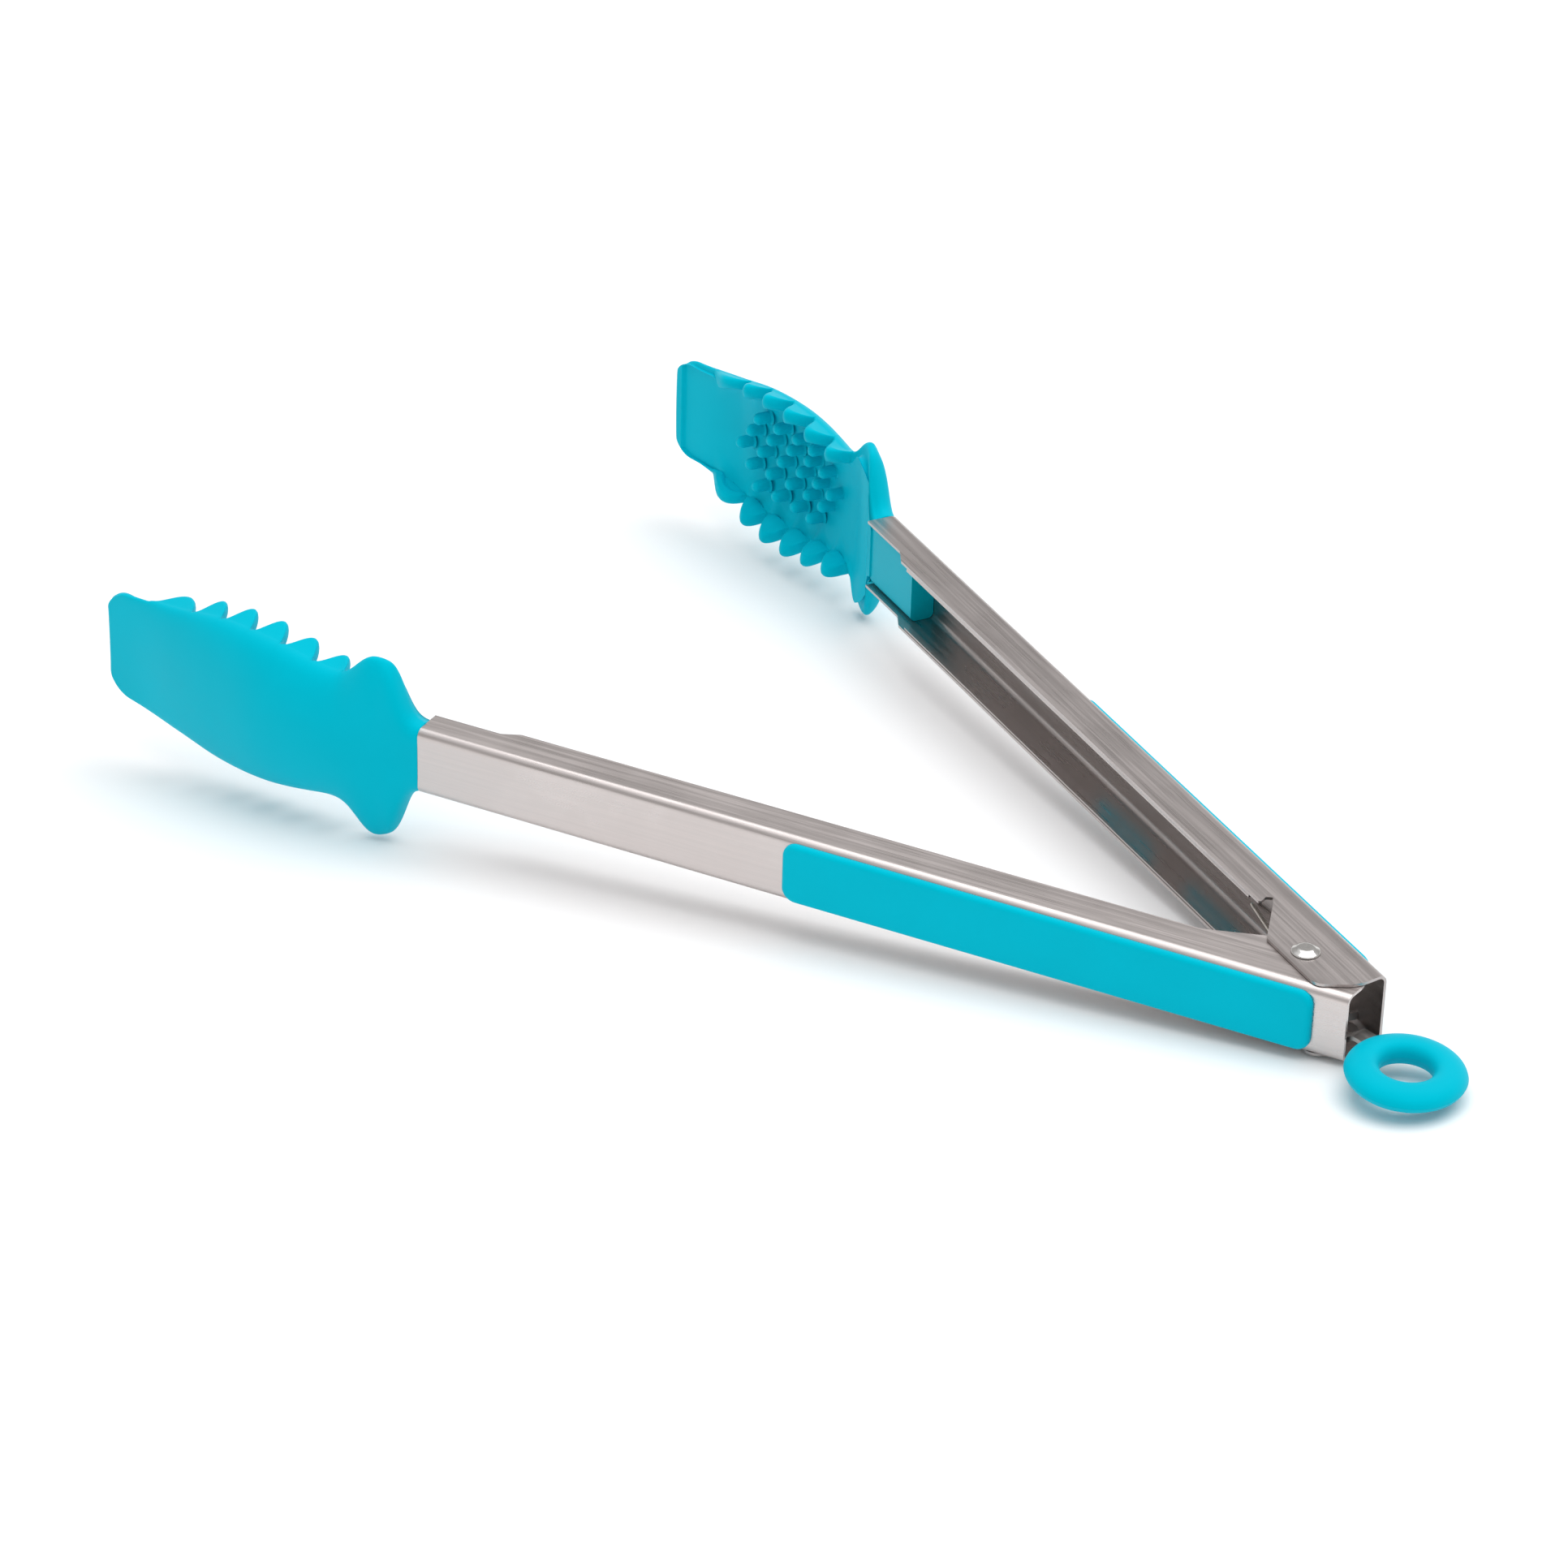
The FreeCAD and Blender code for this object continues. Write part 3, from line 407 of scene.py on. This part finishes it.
def moulded_rubber(name, tone, rough=0.50, gloss=0.12, pit_scale=4200.0):
    """Dyed rubber or plastic with the skin of its mould."""
    finish = bpy.data.materials.new(name)
    finish.use_nodes = True
    tree = finish.node_tree
    shader = tree.nodes["Principled BSDF"]
    position = add_node(tree, "ShaderNodeTexCoord").outputs["Object"]
    skin = tree.nodes.new("ShaderNodeGroup")
    skin.node_tree = moulded_skin
    skin.inputs[1].default_value = pit_scale
    tree.links.new(position, skin.inputs[0])
    cloud, speck, height = skin.outputs
    deep = tuple(part * CLOUDED for part in tone)
    pale = tuple(part + LINT for part in tone)
    dyed = mix_colours(tree, cloud, (*deep, 1), (*tone, 1))
    dusty = mix_colours(tree, spread(tree, speck, 0, 1, 0, 0.35), dyed, (*pale, 1))
    tree.links.new(dusty, shader.inputs["Base Color"])
    tree.links.new(spread(tree, cloud, 0, 1, rough - 0.04, rough + 0.05), shader.inputs["Roughness"])
    shader.inputs["Specular IOR Level"].default_value = gloss
    shader.inputs["Specular Tint"].default_value = (*SHINE_TINT, 1.0)
    bump = add_node(tree, "ShaderNodeBump", Strength=0.15, Distance=0.00004, Height=height)
    tree.links.new(bump.outputs[0], shader.inputs["Normal"])
    return finish


teal_silicone = moulded_rubber("teal_silicone", SILICONE_TONE)


def rounded_pad(left, right, height, corner, edge, bottom, top, crown=0.0):
    """A closed pad with a rounded rectangle for its outline, as (u, v, w) points and faces.

    Rings follow the outline.  Each ring is drawn in towards the pad's middle line by an amount
    that follows a quarter circle over the soft edge and then runs straight in; the crown is a
    parabola over the pad's height.
    """
    along = (right - left) / 2 - corner
    across = height / 2 - corner
    turn = np.linspace(0, 2 * math.pi, PAD_TURN, endpoint=False) + math.pi / PAD_TURN
    outline_u = np.sign(np.cos(turn)) * along + corner * np.cos(turn)
    outline_w = np.sign(np.sin(turn)) * across + corner * np.sin(turn)
    core_u = np.clip(outline_u, height / 2 - (right - left) / 2, (right - left) / 2 - height / 2)
    core = np.stack([core_u, np.zeros_like(core_u)], axis=1)
    outline = np.stack([outline_u, outline_w], axis=1)
    quarter = np.linspace(0, math.pi / 2, 9)
    bend = edge * (1 - np.cos(quarter)) / (height / 2)
    inward = np.concatenate([[1.0, 0.5, 0.0], bend, np.linspace(bend[-1], 1.0, 9)[1:]])
    level = np.concatenate([[bottom] * 3, top - edge + edge * np.sin(quarter), [top] * 8])
    ring = outline[None] + (core - outline)[None] * inward[:, None, None]
    lift = crown * (1 - (ring[..., 1] / (height / 2)) ** 2)
    lift[:4] = 0
    middle = (left + right) / 2
    points = np.stack([ring[..., 0] + middle, level[:, None] + lift, ring[..., 1]], axis=-1)
    return points.reshape(-1, 3), grid_faces(len(inward), len(turn), round_columns=True)[:, ::-1]


def join_shells(*shells):
    """Several closed shells as one array of points and one of faces."""
    points, faces, count = [], [], 0
    for some_points, some_faces in shells:
        points.append(some_points)
        faces.append(some_faces + count)
        count += len(some_points)
    return np.concatenate(points), np.concatenate(faces)


def out_of(piece):
    """Turn a closed mesh's faces outwards."""
    work = bmesh.new()
    work.from_mesh(piece.data)
    bmesh.ops.recalc_face_normals(work, faces=work.faces)
    work.to_mesh(piece.data)
    work.free()
    return piece


for arm, side in SIDES.items():
    pad = rounded_pad(GRIP_BACK, GRIP_FRONT, GRIP_HEIGHT, GRIP_CORNER, GRIP_EDGE, WEB_FACE,
                      WEB_FACE + GRIP_THICK, GRIP_CROWN)
    shells = [pad]
    for place in SLOT_PLACES:
        shells.append(rounded_pad(place - SLOT_LENGTH / 2, place + SLOT_LENGTH / 2, SLOT_HEIGHT,
                                  SLOT_CORNER, BOSS_EDGE, WEB_FACE - SHEET, WEB_FACE + BOSS_LAP))
    points, faces = join_shells(*shells)
    grip = out_of(mesh_piece(f"{arm}_grip_pad", on_arm(points, side), faces, teal_silicone))
    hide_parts(f"{arm}_grip")
    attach(grip, f"{arm}_arm_body")

# ---------------------------------------------------------------------------------------------
# The head cores: nylon tangs, moulded in the same teal and pushed into the channels' mouths.
# The silicone is moulded over their stubs.  The crimps that would hold them are left out.

NYLON_TONE = (0.0, 0.46, 0.59)
teal_nylon = moulded_rubber("teal_nylon", NYLON_TONE, rough=0.42, gloss=0.2, pit_scale=2600.0)
for arm in SIDES:
    dress(frame["nodes"][f"{arm}_head_core"], teal_nylon)

# ---------------------------------------------------------------------------------------------
# The silicone heads.  Each is one moulding: a curved scoop with a bevelled blade at its tip, six
# fingers along each rim that lean back to the handle, a pair of round wings, a block that fills
# the channel's end, and a field of round nubs in the hollow.

PLACES = (0.0, 4.0, 12.0, 28.0, 44.0, 58.0, 72.0, 86.0, 95.5)     # from the steel's end
RIM = (4.2, 5.6, 8.4, 8.6, 6.8, 4.4, 1.8, -1.6, -3.8)            # level of the rims
MIDDLE = (11.9, 12.3, 13.4, 15.2, 14.4, 10.6, 5.8, 0.2, -2.8)    # level of the back's middle line
HALF = (8.9, 10.2, 14.6, 17.4, 19.6, 19.4, 17.0, 15.2, 15.0)      # half height between the rims
HEAD_END = 95.5
STEEL_HALF = {"inner": 8.6, "outer": 9.4}      # half the width across each arm's flanges
TIP_CORNER = 7.0
WALL = 3.0
BLADE_WALL = 2.4
BLADE_FROM, BLADE_TO = 55, 80       # where the wall thins
NECK = 12.0                         # length over which the steel's square shape fades
NECK_SQUARE = 5                     # added to the arc's power of two at the steel's end
FINGERS = 6
FINGER_PITCH = 9.2
FIRST_VALLEY = 67.3                 # steel's end to the valley behind the finger nearest the tip
FIRST_LONGER = 1.55                 # how much longer that finger is than the others
FINGER_TALL, FINGER_FALL = 6.9, 2.3     # the tallest, and the loss at FINGER_SPREAD from it
TALLEST, FINGER_SPREAD = 2.9, 3.3       # counted in fingers from the tip
FINGER_LEAN, FINGER_ROUND = 2.0, 0.55   # the powers that lean and round it
FINGER_DROP, FINGER_FLARE = 0.95, 0.38
WING_PLACE = 9.6
WING_REACH = 10.5
WING_BEHIND, WING_AHEAD = 4.8, 8.6  # the bell's width towards the handle and towards the tip
WING_POWER = 2.7
WING_SWELL = 2.4                    # how much thicker the wall is there
HEAD_ROWS, TIP_ROWS, HEAD_COLUMNS = 400, 60, 150
EVEN_SHARE = 0.45                   # share of even spacing in the columns; the rest crowds at edges
ARC_SHARE = 0.8                     # the arc's length against a quarter circle's
CAP_RINGS = 7
RIB_HEIGHT = 1.3
RIB_FOOT, RIB_FULL = 15, 7          # from the finger's edge: where its rib starts, and is full
BORDER_STEP = 0.9
BORDER_IN, BORDER_OUT = 3.5, 2.6    # from the blade's edge: foot and top of the border's slope
BORDER_FROM, BORDER_TO = 66, 74
BLOCK_END, BLOCK_SLOPE = 5.6, 1.5


def smooth_line(values):
    """A curve through the stations' values: cubic pieces whose slopes are the local gradients."""
    places, values = np.array(PLACES), np.array(values, float)
    slopes = np.gradient(values, places)

    def curve(place):
        spot = np.clip(np.searchsorted(places, place) - 1, 0, len(places) - 2)
        span = places[spot + 1] - places[spot]
        share = (place - places[spot]) / span
        step = share * share * (3 - 2 * share)
        first = share * (1 - share) ** 2 * span * slopes[spot]
        last = share ** 2 * (share - 1) * span * slopes[spot + 1]
        return values[spot] + step * (values[spot + 1] - values[spot]) + first + last
    return curve


def ease(start, end, place):
    """0 before start, 1 after end, a smooth step between."""
    share = np.clip((place - start) / (end - start), 0, 1)
    return share * share * (3 - 2 * share)


rim_line, middle_line, half_line = smooth_line(RIM), smooth_line(MIDDLE), smooth_line(HALF)


def finger_phase(place):
    """Which finger a place is in, from the tip, and how far through it, from tip side to handle side."""
    back = (FIRST_VALLEY - place) / FINGER_PITCH
    number = np.ceil(back)
    phase = back - number + 1
    first = back <= 0
    phase = np.where(first, 1 + (FIRST_VALLEY - place) / (FINGER_PITCH * FIRST_LONGER), phase)
    number = np.where(first, 0, number)
    inside = (number < FINGERS) & (phase > 0)
    return number, np.clip(phase, 0, 1), inside


def finger_reach(place):
    """How far a finger stands past the rim: a root of the sine of the phase's power, steep behind."""
    number, phase, inside = finger_phase(place)
    height = FINGER_TALL - FINGER_FALL * ((number - TALLEST) / FINGER_SPREAD) ** 2
    return np.where(inside, height * np.sin(math.pi * phase ** FINGER_LEAN) ** FINGER_ROUND, 0.0)


def wing_shape(place):
    """How far a wing widens the head: a bell with a round top, steeper on the handle side."""
    width = np.where(place < WING_PLACE, WING_BEHIND, WING_AHEAD)
    return WING_REACH * np.exp(-np.abs((place - WING_PLACE) / width) ** WING_POWER)


def head_surface(steel_half):
    """The head's closed skin, as (u, v, w) points and faces.

    Across the head the wall's middle line is a superellipse arc from rim to rim, carried on past
    each rim by a finger or a wing.  The skin lies half the wall's thickness to each side of it,
    and the thickness falls to nothing at every edge as a half circle does.
    """
    nearing = HEAD_END - TIP_CORNER * np.linspace(1, 0, TIP_ROWS) ** 2
    place = np.concatenate([np.linspace(0, HEAD_END - TIP_CORNER, HEAD_ROWS)[:-1], nearing])
    rows, columns = len(place), HEAD_COLUMNS
    rim, middle = rim_line(place), middle_line(place)
    wing = wing_shape(place)
    half = half_line(place) + wing + (steel_half - STEEL_HALF["inner"]) * (1 - ease(0, NECK, place))
    rounding = np.clip(place - (HEAD_END - TIP_CORNER), 0, TIP_CORNER)
    half = half - TIP_CORNER + np.sqrt(np.maximum(TIP_CORNER ** 2 - rounding ** 2, 0))
    wall = WALL + (BLADE_WALL - WALL) * ease(BLADE_FROM, BLADE_TO, place) + WING_SWELL * wing / WING_REACH
    reach = finger_reach(place)
    power = 2 + NECK_SQUARE * (1 - ease(0, NECK, place))

    # the wall's middle line, by the share q of its length: -1 and 1 are the two edges
    even = np.linspace(-1, 1, columns)
    q = np.sin(even * math.pi / 2)
    q = np.sign(q) * ((1 - EVEN_SHARE) * np.abs(q) + EVEN_SHARE * np.abs(even))
    body = math.pi / 2 * half * ARC_SHARE
    share_body = body / (body + reach)
    part = np.clip(np.abs(q)[None] / share_body[:, None], 0, 1)
    left_over = np.maximum(1 - share_body[:, None], 1e-6)
    beyond = np.clip((np.abs(q)[None] - share_body[:, None]) / left_over, 0, 1)
    beyond = np.where(reach[:, None] > 1e-3, beyond, 0) * reach[:, None]
    turn = part * math.pi / 2
    sag = (middle - rim)[:, None]
    inset = (wall / 2)[:, None]
    w = (half[:, None] - inset) * np.sin(turn) ** (2 / power[:, None])
    v = rim[:, None] + (sag - inset) * np.cos(turn) ** (2 / power[:, None])
    v = v - FINGER_DROP * beyond
    w = (w + FINGER_FLARE * (np.sqrt(beyond ** 2 + 1) - 1)) * np.sign(q)[None]
    u = np.repeat(place[:, None], columns, 1)

    along = np.stack([np.gradient(a, axis=0) for a in (u, v, w)], axis=-1)
    across = np.stack([np.gradient(a, axis=1) for a in (u, v, w)], axis=-1)
    normal = np.cross(along, across)
    normal[..., 0] = 0
    size = np.linalg.norm(normal, axis=-1, keepdims=True)
    normal = normal / np.maximum(size, 1e-9)
    normal *= np.sign(normal[rows // 3, columns // 2, 1])     # away from the hollow

    length = body + reach
    to_rim = (1 - np.abs(q))[None] * length[:, None]
    to_tip = (HEAD_END - place)[:, None]
    edge = np.clip(np.minimum(to_rim, to_tip) / inset, 0, 1)
    thin = inset * np.sqrt(np.maximum(1 - (1 - edge) ** 2, 0))
    _, phase, inside = finger_phase(place)
    rib = np.where(inside, np.sin(math.pi * phase) ** 1.5, 0)[:, None]
    rib = rib * ease(RIB_FOOT, RIB_FULL, to_rim) * RIB_HEIGHT * edge
    bevel = ease(BORDER_OUT, BORDER_IN, np.minimum(to_rim, to_tip)) * BORDER_STEP
    bevel = bevel * ease(BORDER_FROM, BORDER_TO, place)[:, None]
    outer = np.stack([u, v, w], axis=-1) + normal * thin[..., None]
    inner = np.stack([u, v, w], axis=-1) - normal * (thin + rib - bevel)[..., None]
    solid = (1 - ease(BLOCK_END, BLOCK_END + BLOCK_SLOPE, place))[:, None] * edge
    inner[..., 1] = inner[..., 1] + (rim[:, None] - inner[..., 1]) * solid
    skin = np.concatenate([outer, inner[:, -2:0:-1]], axis=1)
    skin[..., 0] += ARM_LENGTH
    return skin, grid_faces(rows, skin.shape[1], round_columns=True)


def fill_end(skin):
    """A flat cap over the first ring of a skin: rings drawn in towards the ring's own middle."""
    ring = skin[0]
    middle = ring.mean(axis=0)
    shrink = np.linspace(1, 0, CAP_RINGS)[:, None, None]
    cap = middle + (ring - middle) * shrink
    return cap.reshape(-1, 3), grid_faces(CAP_RINGS, len(ring), round_columns=True)


NUB_RADIUS = 1.6
NUB_LENGTH = 4.5
NUB_PITCH = 7.2                  # along the head
NUB_LINE = 4.9                   # between lines
NUB_MIDDLE = 50.0
NUB_COUNTS = (4, 5, 6, 5, 4)
NUB_FOOT = 0.7                   # radius of the flare at its foot
NUB_SUNK, FLARE_SUNK = 1.0, 0.3  # how deep it and its flare are set into the wall
NUB_SIDES = 20


def nub_field():
    """Round-ended nubs on the hollow's floor: each is a profile turned about its own axis.

    The profile is a flared foot, a straight side and a half ball.
    """
    flare = np.linspace(0, math.pi / 2, 5)
    ball = np.linspace(0, math.pi / 2, 7)
    radius = np.concatenate([[0], NUB_RADIUS + NUB_FOOT * (1 - np.sin(flare)), NUB_RADIUS * np.cos(ball)])
    foot = NUB_FOOT * (1 - np.cos(flare)) - FLARE_SUNK
    tip = NUB_LENGTH - NUB_RADIUS + NUB_RADIUS * np.sin(ball)
    height = np.concatenate([[-NUB_SUNK], foot, tip])
    around = np.linspace(0, 2 * math.pi, NUB_SIDES, endpoint=False)
    shells = []
    for line, count in enumerate(NUB_COUNTS):
        w = (line - (len(NUB_COUNTS) - 1) / 2) * NUB_LINE
        for number in range(count):
            place = NUB_MIDDLE + (number - (count - 1) / 2) * NUB_PITCH
            rim, middle, half = rim_line(place), middle_line(place), half_line(place)
            share = min(abs(w) / (half - WALL), 1.0)
            floor = rim + (middle - rim) * math.sqrt(1 - share ** 2) - WALL
            ring_u = ARM_LENGTH + place + radius[:, None] * np.cos(around)
            ring_w = w + radius[:, None] * np.sin(around)
            ring_v = floor - height[:, None] + 0 * ring_u
            points = np.stack([ring_u, ring_v, ring_w], axis=-1).reshape(-1, 3)
            shells.append((points, grid_faces(len(radius), len(around), round_columns=True)))
    return shells


for arm, side in SIDES.items():
    skin, skin_faces = head_surface(STEEL_HALF[arm])
    points, faces = join_shells((skin.reshape(-1, 3), skin_faces), fill_end(skin), *nub_field())
    head = out_of(mesh_piece(f"{arm}_head_silicone", on_arm(points, side), faces, teal_silicone))
    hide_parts(f"{arm}_head")
    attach(head, f"{arm}_arm_body")

# ---------------------------------------------------------------------------------------------
# The lock slide: a stamped steel strip that runs on the rivet under the spring.  Its tail bends
# up and out of the arms and is moulded into the pull ring.

# Painted shade: the slide's steel is drawn much darker than the arms' steel, for the shade it lies in
# between the arms.
SLIDE_SHADED_TONE = (0.34, 0.33, 0.32)
SLIDE_SHADED_DARK = (0.22, 0.21, 0.20)
slide_painted_shade_steel = brushed_steel("slide_steel_with_painted_shade", 0.0, SLIDE_SHADED_TONE, SLIDE_SHADED_DARK, rough=(0.3, 0.45))
dress(frame["nodes"]["lock_slide"], slide_painted_shade_steel)

# ---------------------------------------------------------------------------------------------
# The pull ring: a flattened silicone ring, cast over the slide's tail, with a soft inner edge
# and a faint line where the two halves of its mould met.

RING_TILT = math.radians(2.5)
RING_OUTER, RING_HOLE = 13.5, 5.8
RING_THICK = 5.8
RING_TAPER = 0.2                # how much thinner the ring is at its outside
RING_POWER = 2.2                # of its section; 2 would be an ellipse
RING_TURN, RING_SECTION = 160, 64
MOULD_LINE, MOULD_LINE_HALF = 0.10, 0.16


def ring_surface():
    """A ring whose section is a superellipse, thinner towards its outside, with a mould line."""
    around = np.linspace(0, 2 * math.pi, RING_TURN, endpoint=False)
    section = np.linspace(0, 2 * math.pi, RING_SECTION, endpoint=False)
    middle, wide, tall = (RING_OUTER + RING_HOLE) / 2, (RING_OUTER - RING_HOLE) / 2, RING_THICK / 2
    out = np.sign(np.cos(section)) * np.abs(np.cos(section)) ** (2 / RING_POWER) * wide
    rise = np.sin(section) * tall * (1 - RING_TAPER * out / wide)
    seam = MOULD_LINE * np.exp(-(rise / MOULD_LINE_HALF) ** 2) * np.sign(out)
    radius = middle + out + seam
    x = np.cos(around)[:, None] * radius
    y = np.sin(around)[:, None] * radius
    z = np.repeat(rise[None], len(around), 0)
    tilted_x = x * math.cos(RING_TILT) + z * math.sin(RING_TILT)
    tilted_z = -x * math.sin(RING_TILT) + z * math.cos(RING_TILT)
    points = np.stack([tilted_x, y, tilted_z], axis=-1) * MM
    return points.reshape(-1, 3), grid_faces(len(around), len(section), True, True)


low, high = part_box("pull_ring")
points, faces = ring_surface()
ring = out_of(mesh_piece("pull_ring_silicone", points + np.array((low + high) / 2), faces, teal_silicone))
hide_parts("pull_ring")
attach(ring, "lock_body")

# ---------------------------------------------------------------------------------------------
# The floor: a plain pale sheet under the lower wings and the handle end of the lower flange,
# which is higher, so the sheet slopes.  It is laid to the solids, whose wings reach about 1 mm
# lower than the drawn ones.

FLOOR_SIZE = 12.0
FLOOR_GAP = 0.0002
WING_LEVEL = 9.0                 # level of the wings' tips, out from the rivet
wing_foot = on_arm((ARM_LENGTH + WING_PLACE, WING_LEVEL, 0.0), 1)[0]
handle_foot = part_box("outer_arm")
slope = math.atan2(handle_foot[0].z - cad_low.z, handle_foot[1].x - wing_foot)
bpy.ops.mesh.primitive_plane_add(size=FLOOR_SIZE)
floor = bpy.context.object
floor.name = "pale_floor"
floor.data.transform(Matrix.Rotation(-slope, 4, "Y"))
floor.data.transform(Matrix.Translation((wing_foot, 0, cad_low.z - FLOOR_GAP)))
paper = bpy.data.materials.new("pale_paper")
paper.use_nodes = True
paper_shader = paper.node_tree.nodes["Principled BSDF"]
paper_place = add_node(paper.node_tree, "ShaderNodeTexCoord").outputs["Object"]
mottle = add_node(paper.node_tree, "ShaderNodeTexNoise", Vector=paper_place, Scale=3.0, Detail=2.0)
paper.node_tree.links.new(
    mix_colours(paper.node_tree, mottle.outputs[0], (0.93, 0.93, 0.935, 1), (0.95, 0.95, 0.95, 1)),
    paper_shader.inputs["Base Color"])
paper_shader.inputs["Roughness"].default_value = 0.9
paper_shader.inputs["Specular IOR Level"].default_value = 0.1
dress(floor, paper)

# ---------------------------------------------------------------------------------------------
# Light and camera: a pale room with one very large soft light overhead, a little to the far side,
# so that shadows lie under the tongs.  The room is darker half way up, which the flanges mirror.

sky = bpy.data.worlds.new("pale_studio")
bpy.context.scene.world = sky
sky.use_nodes = True
sky_tree = sky.node_tree
sky_place = add_node(sky_tree, "ShaderNodeTexCoord").outputs["Generated"]
sky_height = add_node(sky_tree, "ShaderNodeSeparateXYZ", Vector=sky_place).outputs[2]
sky_low = mix_colours(sky_tree, spread(sky_tree, sky_height, 0.02, 0.30, 0.0, 1.0),
                      (1.25, 1.25, 1.25, 1), (0.48, 0.47, 0.465, 1))
sky_tone = mix_colours(sky_tree, spread(sky_tree, sky_height, 0.55, 0.85, 0.0, 1.0), sky_low,
                       (0.85, 0.85, 0.86, 1))
sky_tree.links.new(sky_tone, sky_tree.nodes["Background"].inputs[0])
sky_tree.nodes["Background"].inputs[1].default_value = 1.0


def soft_light(name, place, aim, size, power):
    """A square area light at a place, turned to face its aim."""
    data = bpy.data.lights.new(name, "AREA")
    data.shape = "SQUARE"
    data.size = size
    data.energy = power
    lamp = bpy.data.objects.new(name, data)
    bpy.context.scene.collection.objects.link(lamp)
    lamp.location = place
    lamp.rotation_euler = (Vector(aim) - Vector(place)).to_track_quat("-Z", "Y").to_euler()


soft_light("overhead_softbox", (0.3, 0.5, 3.2), (0, 0.2, 0), 3.6, 84)

CAMERA_TURN = math.radians(44.70)
CAMERA_RISE = math.radians(30.53)
CAMERA_ROLL = math.radians(1.66)
CAMERA_AWAY = 1.2955
CAMERA_AIM = pivot + Vector((-0.13978, -0.02304, 0.0))
back = Vector((math.sin(CAMERA_TURN) * math.cos(CAMERA_RISE), -math.cos(CAMERA_TURN) * math.cos(CAMERA_RISE),
               math.sin(CAMERA_RISE)))
level = Vector((0, 0, 1)).cross(back).normalized()
upright = back.cross(level)
right = level * math.cos(CAMERA_ROLL) + upright * math.sin(CAMERA_ROLL)
top = back.cross(right)
lens = bpy.data.cameras.new("view")
lens.sensor_width = 36.0
lens.lens = 127.59
lens.clip_end = 100.0
camera = bpy.data.objects.new("view", lens)
bpy.context.scene.collection.objects.link(camera)
facing = Matrix((right, top, back)).transposed().to_4x4()
camera.matrix_world = Matrix.Translation(CAMERA_AIM + back * CAMERA_AWAY) @ facing
bpy.context.scene.camera = camera
bpy.context.scene.view_settings.view_transform = "Standard"
bpy.context.scene.view_settings.look = "None"
